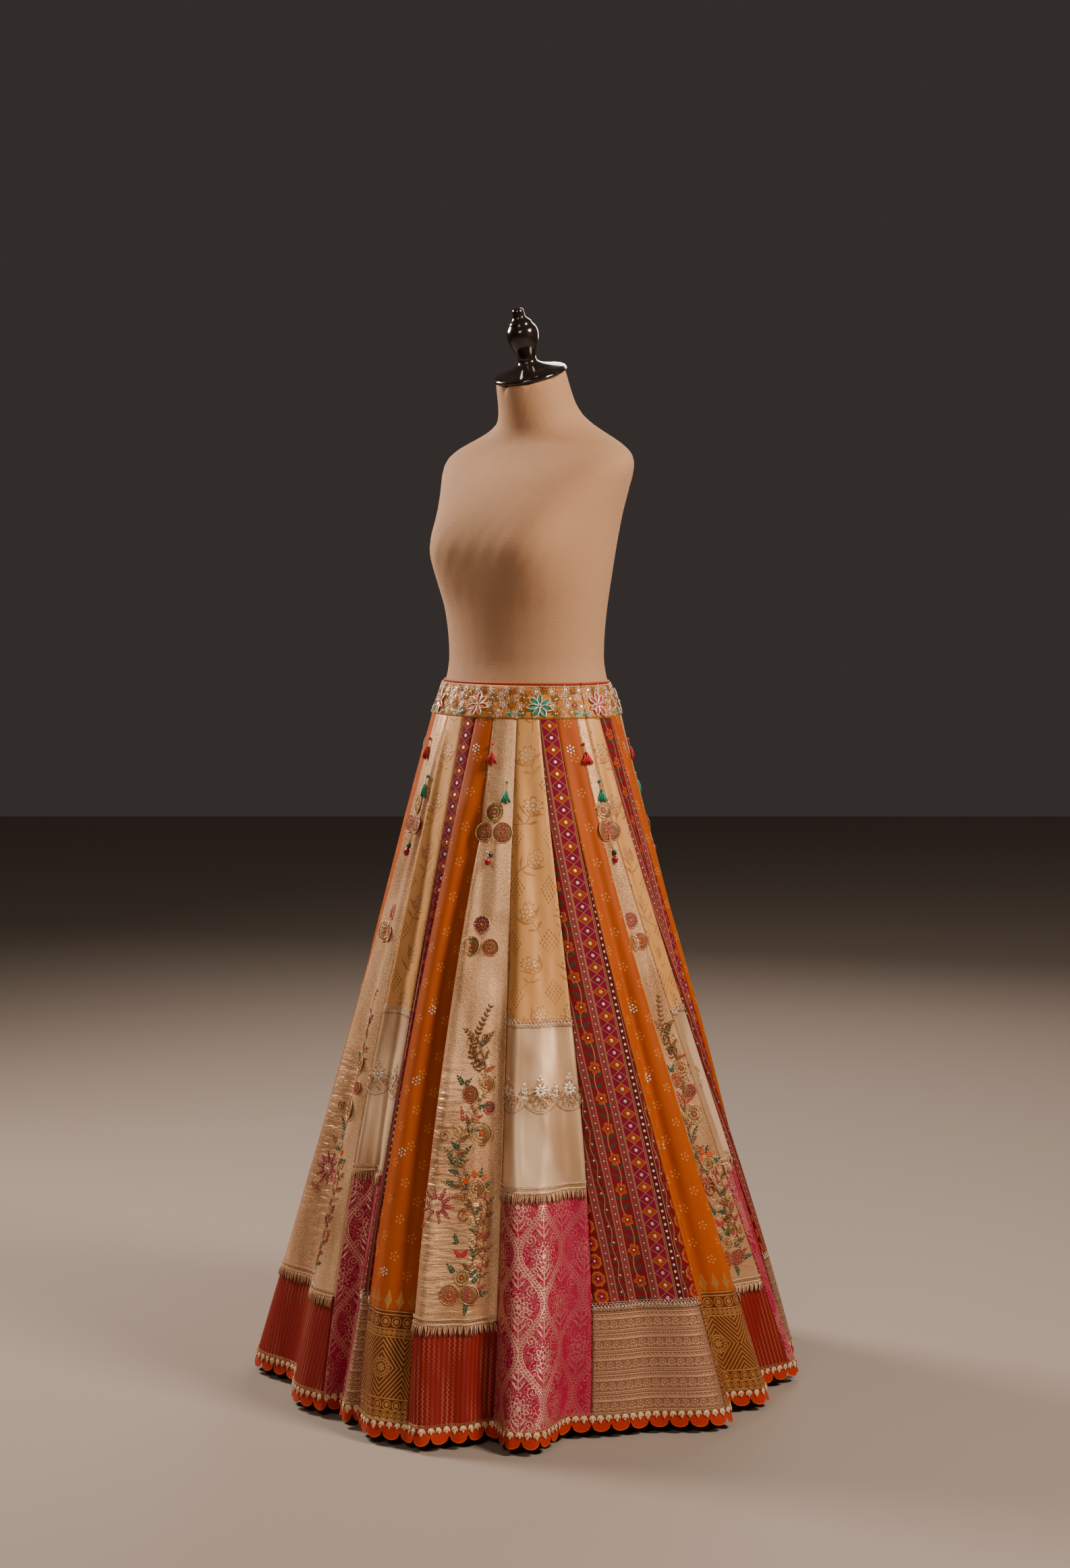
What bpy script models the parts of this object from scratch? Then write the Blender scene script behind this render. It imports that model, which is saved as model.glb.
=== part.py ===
"""A panelled lehenga skirt worn by a limbless dress form, at its real size.

Lengths are in metres and +Z is up. The origin is on the floor, on the axis of the form's pole.
The form faces -Y. Angles run round from -Y towards +X, the side of the form's left arm.
A place along the skirt is a panel number with a fraction: 5.4 is two fifths across panel 5.
"""

import math
from collections import namedtuple

import bpy
from mathutils import Matrix, Vector

# Heights above the floor

BAND_TOP = 1.012
BAND_BOTTOM = 0.966
HIGH_FRINGE_SEAM = 0.334
ZARI_SEAM = 0.175
LOW_FRINGE_SEAM = 0.161
CLOTH_HEM = 0.030
SCALLOP_ROOT = 0.021
SCALLOP_TIP = 0.010

# Thicknesses, gaps and small widths

CLOTH_WALL = 0.002
BAND_WALL = 0.0025
TRIM_WALL = 0.0015
SEAM_GAP = 0.0003
FORM_GAP = 0.0004
FRINGE_GAP = 0.0005
PLACKET_GAP = 0.0015
PIPING_RADIUS = 0.0016
SCALLOP_PITCH = 0.027
SCALLOP_STEPS = 3
BRAID_ABOVE_SEAM = 0.005
BRAID_BELOW_SEAM = 0.003
FRINGE_DROP = 0.013
LOCKS_PER_COLUMN = 3
PLACKET_ANGLE = 70.5

# The skirt's cut: six repeats of four panels, each wall panel in five columns

KINDS = ("orange", "tissue", "brocade", "strip")
REPEATS = 6
PANELS = REPEATS * len(KINDS)
STEPS = 5
ROWS = 9
ROW_STEP = (BAND_BOTTOM - CLOTH_HEM) / ROWS

# The smooth outline of the skirt without its folds, as ellipses at three heights

Ellipse = namedtuple("Ellipse", "half_width half_depth")
WAIST = Ellipse(0.1461, 0.1184)
KNEE = Ellipse(0.2600, 0.2480)
HEM = Ellipse(0.3850, 0.3850)
HEM_HEIGHT = 0.012

# The seam on the left of each panel: its angle in degrees at the waistband, the knee and the hem

Seam = namedtuple("Seam", "waist knee hem")
SEAMS = (
    Seam(-58.0, -58.0, -58.0),
    Seam(-41.0, -45.5, -51.5),
    Seam(-23.0, -20.5, -12.0),
    Seam(-8.5, -7.5, -7.0),
    Seam(0.5, -4.0, 2.5),
    Seam(12.0, 9.5, 14.5),
    Seam(26.5, 30.0, 30.5),
    Seam(40.0, 53.0, 52.5),
    Seam(50.5, 72.0, 81.5),
    Seam(63.2, 86.0, 101.0),
    Seam(70.5, 97.0, 117.0),
    Seam(82.2, 108.0, 132.0),
    Seam(95.0, 124.0, 151.0),
    Seam(112.0, 137.0, 161.0),
    Seam(132.0, 153.0, 173.5),
    Seam(149.0, 168.0, 186.0),
    Seam(164.0, 184.0, 201.5),
    Seam(180.0, 195.0, 211.0),
    Seam(200.0, 210.0, 223.0),
    Seam(217.0, 225.0, 236.0),
    Seam(232.0, 240.0, 251.5),
    Seam(247.0, 254.0, 261.0),
    Seam(267.0, 270.0, 273.0),
    Seam(285.0, 286.0, 286.0),
)

# The crests and troughs of the folds: place, and depth in millimetres at the knee and the hem

Fold = namedtuple("Fold", "place knee hem")
FOLDS = (
    Fold(0.0, 0, 2),
    Fold(0.4, 6, 10),
    Fold(1.0, 8, 15),
    Fold(1.4, -9, -36),
    Fold(1.8, 4, -5),
    Fold(2.0, 0, -13),
    Fold(2.4, -17, -52),
    Fold(3.0, -5, -20),
    Fold(3.4, -2, -6),
    Fold(3.8, -7, -24),
    Fold(4.0, 3, 8),
    Fold(4.4, 9, 26),
    Fold(5.0, -8, 24),
    Fold(5.2, 6, 36),
    Fold(5.6, 4, 8),
    Fold(6.0, -7, -25),
    Fold(6.2, 9, 23),
    Fold(6.4, 7, 26),
    Fold(6.8, -8, -42),
    Fold(7.4, -3, -32),
    Fold(8.0, 8, 21),
    Fold(8.4, -9, -24),
    Fold(8.8, 6, 8),
    Fold(9.4, -10, -28),
    Fold(10.2, 7, 15),
    Fold(10.6, -9, -28),
    Fold(11.2, 8, 18),
    Fold(11.6, -10, -30),
    Fold(12.2, 7, 16),
    Fold(12.6, -8, -22),
    Fold(13.0, 7, 16),
    Fold(13.4, -9, -26),
    Fold(14.0, 6, 18),
    Fold(14.4, -8, -22),
    Fold(15.0, 8, 20),
    Fold(15.4, -10, -32),
    Fold(15.8, 6, 12),
    Fold(16.4, -8, -24),
    Fold(17.0, 8, 20),
    Fold(17.4, -8, -28),
    Fold(18.0, 7, 16),
    Fold(18.4, -9, -24),
    Fold(19.0, 8, 22),
    Fold(19.4, -10, -34),
    Fold(20.0, 6, 12),
    Fold(20.6, -6, -20),
    Fold(21.2, 8, 20),
    Fold(21.6, -9, -28),
    Fold(22.2, 7, 16),
    Fold(22.6, -9, -26),
    Fold(23.2, 6, 12),
    Fold(23.6, -8, -22),
    Fold(24.0, 0, 2),
)

# The pieces that each kind of panel is joined from, from the band down: name and height of the foot

Piece = namedtuple("Piece", "name foot")
CUTS = {
    "orange": (Piece("panel", CLOTH_HEM),),
    "tissue": (Piece("panel", LOW_FRINGE_SEAM), Piece("coral_patch", CLOTH_HEM)),
    "brocade": (Piece("panel", HIGH_FRINGE_SEAM), Piece("magenta_patch", CLOTH_HEM)),
    "strip": (Piece("panel", ZARI_SEAM), Piece("zari_border", CLOTH_HEM)),
}
FRINGE_SEAMS = {"tissue": LOW_FRINGE_SEAM, "brocade": HIGH_FRINGE_SEAM}

# The dress form's sections, bottom to top: height and set-back of the middle, forward tilt in degrees,
# half width, and depth to the front and to the back

Section = namedtuple("Section", "height back_by tilt half_width front back")
SECTIONS = (
    Section(0.790, 0.000, 0, 0.150, 0.108, 0.114),
    Section(0.798, 0.000, 0, 0.158, 0.116, 0.122),
    Section(0.850, 0.000, 0, 0.162, 0.122, 0.127),
    Section(0.900, 0.000, 0, 0.155, 0.120, 0.123),
    Section(0.936, 0.000, 0, 0.1488, 0.1180, 0.1180),
    Section(BAND_BOTTOM, 0.000, 0, 0.1432, 0.1155, 0.1155),
    Section(0.989, 0.000, 0, 0.1355, 0.1070, 0.1070),
    Section(BAND_TOP, 0.000, 0, 0.1272, 0.0980, 0.0980),
    Section(1.040, 0.000, 0, 0.1215, 0.0915, 0.0915),
    Section(1.080, 0.000, 0, 0.1225, 0.0940, 0.0925),
    Section(1.120, 0.001, 0, 0.1265, 0.1010, 0.0945),
    Section(1.160, 0.003, 0, 0.1320, 0.1100, 0.0975),
    Section(1.205, 0.006, 0, 0.1375, 0.1180, 0.1020),
    Section(1.250, 0.011, 0, 0.1440, 0.1130, 0.1040),
    Section(1.290, 0.018, 1, 0.1550, 0.0980, 0.0990),
    Section(1.315, 0.024, 2, 0.1625, 0.0840, 0.0900),
    Section(1.334, 0.028, 4, 0.1600, 0.0720, 0.0790),
    Section(1.349, 0.030, 6, 0.1400, 0.0640, 0.0700),
    Section(1.361, 0.032, 9, 0.1130, 0.0600, 0.0640),
    Section(1.373, 0.032, 12, 0.0860, 0.0570, 0.0590),
    Section(1.386, 0.030, 15, 0.0660, 0.0550, 0.0560),
    Section(1.402, 0.025, 17, 0.0565, 0.0540, 0.0540),
    Section(1.426, 0.017, 18, 0.0525, 0.0530, 0.0530),
    Section(1.448, 0.010, 18, 0.0505, 0.0515, 0.0515),
)
FORM_COLUMNS = 32
BUST_HEIGHT = 1.200
BUST_SPREAD = 0.052
BUST_ANGLE = 34.0
BUST_WIDTH = 25.0
BUST_DEPTH = 0.024

# Turned profiles, as radius and height from the foot

FINIAL_PROFILE = (
    (0.0530, 0.0000),
    (0.0545, 0.0030),
    (0.0525, 0.0070),
    (0.0420, 0.0095),
    (0.0240, 0.0145),
    (0.0140, 0.0200),
    (0.0122, 0.0270),
    (0.0165, 0.0380),
    (0.0218, 0.0500),
    (0.0237, 0.0610),
    (0.0220, 0.0700),
    (0.0165, 0.0765),
    (0.0165, 0.0795),
    (0.0125, 0.0825),
    (0.0085, 0.0855),
    (0.0088, 0.0965),
    (0.0060, 0.0990),
)
FINIAL_SIDES = 20
POLE_RADIUS = 0.016
BASE_RADIUS = 0.200
STAND_SIDES = 32
STAND_PROFILE = (
    (BASE_RADIUS - 0.003, 0.000),
    (BASE_RADIUS, 0.003),
    (BASE_RADIUS, 0.010),
    (BASE_RADIUS - 0.006, 0.014),
    (0.060, 0.020),
    (0.030, 0.026),
    (0.026, 0.045),
    (POLE_RADIUS, 0.050),
    (POLE_RADIUS, SECTIONS[0].height - SEAM_GAP),
)

# Colour, roughness and metallic value of each material

MATERIALS = {
    "orange": ((0.80, 0.30, 0.03), 0.55, 0.0),
    "tissue": ((0.72, 0.57, 0.36), 0.38, 0.35),
    "brocade": ((0.78, 0.56, 0.28), 0.42, 0.15),
    "strip": ((0.50, 0.06, 0.08), 0.70, 0.0),
    "coral_patch": ((0.74, 0.14, 0.10), 0.50, 0.1),
    "magenta_patch": ((0.60, 0.03, 0.17), 0.42, 0.2),
    "zari_border": ((0.62, 0.46, 0.30), 0.42, 0.3),
    "fringe": ((0.52, 0.40, 0.22), 0.60, 0.3),
    "band": ((0.83, 0.45, 0.07), 0.60, 0.1),
    "trim": ((0.76, 0.12, 0.02), 0.70, 0.0),
    "form_cloth": ((0.52, 0.37, 0.24), 0.85, 0.0),
    "lacquer": ((0.02, 0.012, 0.01), 0.12, 0.0),
    "stand_metal": ((0.04, 0.04, 0.04), 0.45, 0.8),
}


def clear_scene():
    for old in list(bpy.data.objects):
        bpy.data.objects.remove(old)


def material(name):
    """The Blender material of that name, made the first time it is asked for."""
    found = bpy.data.materials.get(name)
    if found:
        return found
    colour, roughness, metallic = MATERIALS[name]
    made = bpy.data.materials.new(name)
    made.use_nodes = True
    shader = made.node_tree.nodes["Principled BSDF"]
    shader.inputs["Base Color"].default_value = (*colour, 1.0)
    shader.inputs["Roughness"].default_value = roughness
    shader.inputs["Metallic"].default_value = metallic
    made.diffuse_color = (*colour, 1.0)
    return made


def add_object(name, points, faces, material_name):
    mesh = bpy.data.meshes.new(name)
    mesh.from_pydata([tuple(point) for point in points], [], faces)
    mesh.materials.append(material(material_name))
    mesh.shade_smooth()
    mesh.set_sharp_from_angle(angle=math.radians(50))
    made = bpy.data.objects.new(name, mesh)
    bpy.context.scene.collection.objects.link(made)
    return made


# The shape of the hanging cloth


def curve_through(waist, knee, hem, drop):
    """The parabola through values at drop 0, 0.5 and 1."""
    return (
        waist * (1 - drop) * (1 - 2 * drop)
        + knee * 4 * drop * (1 - drop)
        + hem * drop * (2 * drop - 1)
    )


def seam_at(index):
    """The seam left of a panel, where numbers past the last panel go on round the skirt."""
    turns, panel = divmod(index, PANELS)
    return Seam(*(angle + 360 * turns for angle in SEAMS[panel]))


def cloth_angle(place, drop):
    panel = math.floor(place + 1e-9)
    share = place - panel
    left, right = seam_at(panel), seam_at(panel + 1)
    levels = [a + (b - a) * share for a, b in zip(left, right)]
    return math.radians(curve_through(*levels, drop))


def fold_depth(place, drop):
    """How far the cloth stands out of its smooth cone. It eases from each crest to the next trough."""
    place %= PANELS
    for start, end in zip(FOLDS, FOLDS[1:]):
        if place <= end.place:
            break
    share = (place - start.place) / (end.place - start.place)
    ease = (1 - math.cos(math.pi * share)) / 2
    knee = start.knee + (end.knee - start.knee) * ease
    hem = start.hem + (end.hem - start.hem) * ease
    return curve_through(0, knee, hem, drop) / 1000


def hung_point(place, height):
    """A point of the smooth form that the cloth hangs in."""
    drop = (BAND_BOTTOM - height) / (BAND_BOTTOM - HEM_HEIGHT)
    angle = cloth_angle(place, drop)
    stand_out = fold_depth(place, drop)
    half_width = curve_through(WAIST.half_width, KNEE.half_width, HEM.half_width, drop) + stand_out
    half_depth = curve_through(WAIST.half_depth, KNEE.half_depth, HEM.half_depth, drop) + stand_out
    return Vector((half_width * math.sin(angle), -half_depth * math.cos(angle), height))


def hung_normal(place, height):
    """The outward direction square to the cloth's outline at that height."""
    reach = 1 / (2 * STEPS)
    along = hung_point(place + reach, height) - hung_point(place - reach, height)
    return Vector((along.y, -along.x, 0)).normalized()


def cloth_point(place, height, out=0.0):
    """A point of the skirt's outer face, or a set distance outside it.

    The cloth is straight between one crossing row of the table and the next, so that
    neighbouring pieces keep the same edge wherever they are cut.
    """
    row = min(max(math.floor((BAND_BOTTOM - height) / ROW_STEP), 0), ROWS - 1)
    above, below = BAND_BOTTOM - row * ROW_STEP, BAND_BOTTOM - (row + 1) * ROW_STEP
    high = hung_point(place, above) + hung_normal(place, above) * out
    low = hung_point(place, below) + hung_normal(place, below) * out
    return high.lerp(low, (above - height) / ROW_STEP)


def panel_places(panel, steps=STEPS):
    return [panel + step / steps for step in range(steps + 1)]


def fringe_heights(kind):
    """The top and the foot of the braid over a panel's low seam, and the tips of its fringe."""
    if kind not in FRINGE_SEAMS:
        return []
    seam = FRINGE_SEAMS[kind]
    foot = seam - BRAID_BELOW_SEAM
    return [seam + BRAID_ABOVE_SEAM, foot, foot - FRINGE_DROP]


def piece_heights(kind, top, foot):
    """The heights of a piece's rows: its ends, the cloth's own rows, and the edges of a fringe on it."""
    rows = [BAND_BOTTOM - row * ROW_STEP for row in range(1, ROWS)]
    inside = [height for height in rows + fringe_heights(kind) if foot < height < top]
    return sorted([top, *inside, foot], reverse=True)


def narrowed(points, gap):
    """A row of points with its two ends drawn in by half the gap."""
    moved = [point.copy() for point in points]
    moved[0] += (points[1] - points[0]).normalized() * gap / 2
    moved[-1] += (points[-2] - points[-1]).normalized() * gap / 2
    return moved


def cloth_rows(places, heights, out):
    """Rows of points that lie a set distance outside the cloth's outer face, drawn in at the side seams."""
    return [
        narrowed([cloth_point(place, height, out) for place in places], SEAM_GAP)
        for height in heights
    ]


# Closed walls from rows of points


def wall_mesh(outer, inner):
    """The points and faces of a closed wall between an outer and an inner grid of the same size."""
    rows, columns = len(outer), len(outer[0])
    points = [point for grid in (outer, inner) for row in grid for point in row]

    def outer_index(row, column):
        return row * columns + column

    def inner_index(row, column):
        return rows * columns + row * columns + column

    faces = []
    for row in range(rows - 1):
        for column in range(columns - 1):
            corners = ((row, column), (row + 1, column), (row + 1, column + 1), (row, column + 1))
            faces.append([outer_index(*corner) for corner in corners])
            faces.append([inner_index(*corner) for corner in reversed(corners)])
    rim = [(0, column) for column in range(columns)]
    rim += [(row, columns - 1) for row in range(1, rows)]
    rim += [(rows - 1, column) for column in range(columns - 2, -1, -1)]
    rim += [(row, 0) for row in range(rows - 2, 0, -1)]
    for here, after in zip(rim, rim[1:] + rim[:1]):
        corners = (outer_index(*here), outer_index(*after), inner_index(*after), inner_index(*here))
        faces.append(list(corners))
    return points, faces


def ring_mesh(loops):
    """A closed tube through loops of points, each loop joined to the next and the last to the first."""
    count = len(loops[0])
    points = [point for loop in loops for point in loop]
    faces = []
    for place in range(len(loops)):
        after = (place + 1) % len(loops)
        for side in range(count):
            beside = (side + 1) % count
            faces.append(
                [
                    place * count + side,
                    place * count + beside,
                    after * count + beside,
                    after * count + side,
                ]
            )
    return points, faces


def capped_mesh(loops):
    """A closed body through loops of points, with a flat cap on the first and the last."""
    count = len(loops[0])
    points = [point for loop in loops for point in loop]
    faces = [list(range(count))[::-1]]
    for level in range(len(loops) - 1):
        for side in range(count):
            beside = (side + 1) % count
            faces.append(
                [
                    level * count + side,
                    level * count + beside,
                    (level + 1) * count + beside,
                    (level + 1) * count + side,
                ]
            )
    last = (len(loops) - 1) * count
    faces.append([last + side for side in range(count)])
    return points, faces


# The skirt


def make_panel(panel):
    """One gored panel, hung from the band, and the patch or border sewn to its foot."""
    kind = KINDS[panel % len(KINDS)]
    places = panel_places(panel)
    top = BAND_BOTTOM
    for piece in CUTS[kind]:
        heights = piece_heights(kind, top - SEAM_GAP, piece.foot)
        outer = cloth_rows(places, heights, 0)
        inner = cloth_rows(places, heights, -CLOTH_WALL)
        label = f"{kind}_{piece.name}" if piece.name == "panel" else piece.name
        finish = kind if piece.name == "panel" else piece.name
        add_object(f"{label}_{panel // len(KINDS) + 1}", *wall_mesh(outer, inner), finish)
        top = piece.foot


def facet_row(panel, height, out, columns):
    """Points on the flat facets of a panel, moved out. A whole column number is an edge of a facet."""
    face = cloth_rows(panel_places(panel), [height], out)[0]
    row = []
    for column in columns:
        facet = min(int(column), STEPS - 1)
        row.append(face[facet].lerp(face[facet + 1], column - facet))
    return row


def make_fringe(panel):
    """A braid across the foot of a panel, with tapered locks of thread that hang from it."""
    kind = KINDS[panel % len(KINDS)]
    top, foot, tip = fringe_heights(kind)
    locks = STEPS * LOCKS_PER_COLUMN
    roots = [lock / LOCKS_PER_COLUMN for lock in range(locks + 1)]
    middles = [(lock + 0.5) / LOCKS_PER_COLUMN for lock in range(locks)]
    near, far = FRINGE_GAP, FRINGE_GAP + TRIM_WALL
    outer = [facet_row(panel, height, far, roots) for height in (top, foot)]
    inner = [facet_row(panel, height, near, roots) for height in (top, foot)]
    points, faces = wall_mesh(outer, inner)
    foot_outer, foot_inner = len(roots), 3 * len(roots)
    foot_faces = {
        frozenset((foot_outer + n, foot_outer + n + 1, foot_inner + n, foot_inner + n + 1))
        for n in range(locks)
    }
    faces = [face for face in faces if frozenset(face) not in foot_faces]
    tips_out = facet_row(panel, tip, far, middles)
    tips_in = facet_row(panel, tip, near, middles)
    for lock, (tip_out, tip_in) in enumerate(zip(tips_out, tips_in)):
        a, b = foot_outer + lock, foot_outer + lock + 1
        c, d = foot_inner + lock, foot_inner + lock + 1
        tip_a, tip_c = len(points), len(points) + 1
        points += [tip_out, tip_in]
        faces += [[a, tip_a, b], [c, d, tip_c], [a, c, tip_c, tip_a], [b, tip_a, tip_c, d]]
    add_object(f"{kind}_fringe_{panel // len(KINDS) + 1}", points, faces, "fringe")


def hem_length():
    places = [place / STEPS for place in range(PANELS * STEPS + 1)]
    points = [cloth_point(place, CLOTH_HEM) for place in places]
    return sum((b - a).length for a, b in zip(points, points[1:]))


def hem_places(count):
    """Places spaced evenly along the hem's own length."""
    fine = [place / (4 * STEPS) for place in range(PANELS * 4 * STEPS + 1)]
    points = [cloth_point(place, CLOTH_HEM) for place in fine]
    travelled = [0.0]
    for a, b in zip(points, points[1:]):
        travelled.append(travelled[-1] + (b - a).length)
    places = []
    index = 0
    for step in range(count):
        target = travelled[-1] * step / count
        while travelled[index + 1] < target:
            index += 1
        share = (target - travelled[index]) / (travelled[index + 1] - travelled[index])
        places.append(fine[index] + (fine[index + 1] - fine[index]) * share)
    return places


def make_scallops():
    """The orange trim all round the hem, with its row of round lobes."""
    lobes = round(hem_length() / SCALLOP_PITCH)
    near = (CLOTH_WALL - TRIM_WALL) / 2
    far = near + TRIM_WALL
    loops = []
    for step, place in enumerate(hem_places(lobes * SCALLOP_STEPS)):
        phase = (step % SCALLOP_STEPS) / SCALLOP_STEPS
        lobe = math.sqrt(max(0.0, 1 - (2 * phase - 1) ** 2))
        foot = SCALLOP_ROOT + (SCALLOP_TIP - SCALLOP_ROOT) * lobe
        top = CLOTH_HEM - SEAM_GAP
        corners = ((top, -near), (foot, -near), (foot, -far), (top, -far))
        loops.append([cloth_point(place, height, out) for height, out in corners])
    add_object("scallop_trim", *ring_mesh(loops), "trim")


# The dress form


def form_point(section, column, out=0.0):
    """A point of the form's surface, or that far outside it."""
    angle = 2 * math.pi * column / FORM_COLUMNS
    depth = section.front if math.cos(angle) > 0 else section.back
    ahead = -(depth + out) * math.cos(angle)
    side = (section.half_width + out) * math.sin(angle)
    turned = Matrix.Rotation(math.radians(section.tilt), 3, "X") @ Vector((side, ahead, 0))
    point = turned + Vector((0, section.back_by, section.height))
    return point + bust_point(section.height, angle)


def bust_point(height, angle):
    """How far the bust moves a point of the form, each side along its own direction."""
    rise = math.exp(-(((height - BUST_HEIGHT) / BUST_SPREAD) ** 2))
    degrees = math.degrees(math.atan2(math.sin(angle), math.cos(angle)))
    out = Vector((0, 0, 0))
    for side in (-1, 1):
        across = math.exp(-(((degrees - side * BUST_ANGLE) / BUST_WIDTH) ** 2))
        aim = math.radians(side * BUST_ANGLE)
        out += Vector((math.sin(aim), -math.cos(aim), 0)) * BUST_DEPTH * rise * across
    return out


def make_form():
    loops = [
        [form_point(section, column) for column in range(FORM_COLUMNS)] for section in SECTIONS
    ]
    add_object("dress_form", *capped_mesh(loops), "form_cloth")


def band_sections():
    return [section for section in SECTIONS if BAND_BOTTOM <= section.height <= BAND_TOP]


def band_columns():
    """The form's columns from one side of the placket round to the other, with the placket's edges."""
    per_degree = FORM_COLUMNS / 360
    half_gap = PLACKET_GAP / 2 / WAIST.half_width * FORM_COLUMNS / (2 * math.pi)
    start = PLACKET_ANGLE * per_degree + half_gap
    end = PLACKET_ANGLE * per_degree + FORM_COLUMNS - half_gap
    between = [n for n in range(math.ceil(start), math.floor(end) + 1)]
    return [start, *between, end]


def band_point(section, column, out):
    """A point outside the form's flat facets, so that the band lies on them."""
    whole = math.floor(column)
    left = form_point(section, whole, out)
    right = form_point(section, whole + 1, out)
    return left.lerp(right, column - whole)


def make_band():
    """The waistband, one strip that meets at the placket."""
    columns = band_columns()
    levels = list(reversed(band_sections()))
    outer = [[band_point(s, c, FORM_GAP + BAND_WALL) for c in columns] for s in levels]
    inner = [[band_point(s, c, FORM_GAP) for c in columns] for s in levels]
    add_object("waistband", *wall_mesh(outer, inner), "band")


def make_piping():
    """The corded edge along the top of the band."""
    section = band_sections()[-1]
    loops = []
    for column in band_columns():
        middle = band_point(section, column, FORM_GAP + PIPING_RADIUS)
        middle += Vector((0, 0, SEAM_GAP + PIPING_RADIUS))
        outward = Vector((middle.x, middle.y, 0)).normalized()
        loop = []
        for side in range(4):
            turn = -math.pi / 2 * side
            across = outward * math.cos(turn) * PIPING_RADIUS
            loop.append(middle + across + Vector((0, 0, math.sin(turn) * PIPING_RADIUS)))
        loops.append(loop)
    add_object("band_piping", *capped_mesh(loops), "trim")


def add_turned(name, profile, sides, material_name):
    """A solid turned round Z by a Screw modifier. The profile is given upwards and drawn downwards."""
    outline = [(0, profile[0][1]), *profile, (0, profile[-1][1])]
    points = [(radius, 0, height) for radius, height in reversed(outline)]
    mesh = bpy.data.meshes.new(name)
    mesh.from_pydata(points, [(n, n + 1) for n in range(len(points) - 1)], [])
    mesh.materials.append(material(material_name))
    made = bpy.data.objects.new(name, mesh)
    bpy.context.scene.collection.objects.link(made)
    screw = made.modifiers.new("turn", "SCREW")
    screw.steps = screw.render_steps = sides
    screw.use_merge_vertices = True
    screw.merge_threshold = 0.0001
    return made


def make_finial():
    """The turned cap on the neck with its knob, tilted with the neck."""
    neck = SECTIONS[-1]
    finial = add_turned("neck_finial", FINIAL_PROFILE, FINIAL_SIDES, "lacquer")
    tilt = math.radians(neck.tilt)
    finial.rotation_euler = (tilt, 0, 0)
    lift = Matrix.Rotation(tilt, 3, "X") @ Vector((0, 0, SEAM_GAP))
    finial.location = Vector((0, neck.back_by, neck.height)) + lift


def make_stand():
    """The pole and its weighted base plate, which the skirt hides."""
    add_turned("stand", STAND_PROFILE, STAND_SIDES, "stand_metal")


def main():
    clear_scene()
    make_form()
    make_finial()
    make_stand()
    make_band()
    make_piping()
    for panel in range(PANELS):
        make_panel(panel)
        if KINDS[panel % len(KINDS)] in FRINGE_SEAMS:
            make_fringe(panel)
    make_scallops()


main()
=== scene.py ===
# %% [markdown]
# # A panelled lehenga skirt on a dress form
#
# The skirt is sewn from long tapered panels in four kinds of cloth, which repeat six times round the body.
# The solids of the frame give every piece its place. Each step below dresses one of them:
# a finer sheet of cloth over it, its woven pattern as a material, and the work sewn on it as small meshes.
# Lengths are in metres, +Z is up and the form faces -Y.

import itertools
import math
from collections import namedtuple

import bmesh
import bpy
import numpy as np
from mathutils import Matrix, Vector


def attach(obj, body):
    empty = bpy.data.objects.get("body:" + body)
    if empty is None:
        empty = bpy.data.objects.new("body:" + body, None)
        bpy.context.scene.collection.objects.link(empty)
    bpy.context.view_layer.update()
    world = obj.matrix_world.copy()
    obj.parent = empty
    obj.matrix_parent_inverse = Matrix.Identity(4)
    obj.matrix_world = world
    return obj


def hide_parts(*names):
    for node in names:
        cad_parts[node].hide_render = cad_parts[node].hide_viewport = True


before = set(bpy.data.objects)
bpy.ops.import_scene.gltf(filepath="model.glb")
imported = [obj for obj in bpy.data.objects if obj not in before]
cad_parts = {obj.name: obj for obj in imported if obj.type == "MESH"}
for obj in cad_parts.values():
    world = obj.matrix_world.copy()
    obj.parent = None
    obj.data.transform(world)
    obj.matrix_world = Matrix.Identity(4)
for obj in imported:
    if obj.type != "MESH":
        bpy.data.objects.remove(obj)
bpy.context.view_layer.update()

# %% [markdown]
# ## Camera, floor and light
#
# The camera stands to the form's left, a little above its waist, and looks slightly down.
# A long lens from over four metres away keeps the skirt's sides nearly straight.
# A soft light from the right shapes the folds, one from behind the left lines the edges, and a weak one
# in front opens the shadows. A wide one at the back lightens the floor behind the form.

# %% Camera
CAMERA_DISTANCE = 4.2
CAMERA_HEIGHT = 1.245
CAMERA_SIDE = math.radians(38)
CAMERA_PITCH = math.radians(5.19)
CAMERA_LENS_MM = 67.0
CAMERA_SHIFT = 0.0056

TO_CAMERA = Vector((math.sin(CAMERA_SIDE), -math.cos(CAMERA_SIDE), 0))
TO_RIGHT = Vector((math.cos(CAMERA_SIDE), math.sin(CAMERA_SIDE), 0))

camera_data = bpy.data.cameras.new("camera")
camera_data.lens = CAMERA_LENS_MM
camera_data.shift_x = CAMERA_SHIFT
camera = bpy.data.objects.new("camera", camera_data)
bpy.context.scene.collection.objects.link(camera)
camera.location = TO_CAMERA * CAMERA_DISTANCE + Vector((0, 0, CAMERA_HEIGHT))
look = -TO_CAMERA * math.cos(CAMERA_PITCH) - Vector((0, 0, math.sin(CAMERA_PITCH)))
camera.rotation_euler = look.to_track_quat("-Z", "Y").to_euler()
bpy.context.scene.camera = camera
print("camera at", [round(c, 2) for c in camera.location])

# %% Floor and lights
FLOOR_SIZE = 16.0
FLOOR_COLOUR = (0.29, 0.24, 0.207)
SKY_COLOUR = (0.50, 0.42, 0.38)
SKY_STRENGTH = 0.08
AIM_HEIGHT = 1.0

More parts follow.
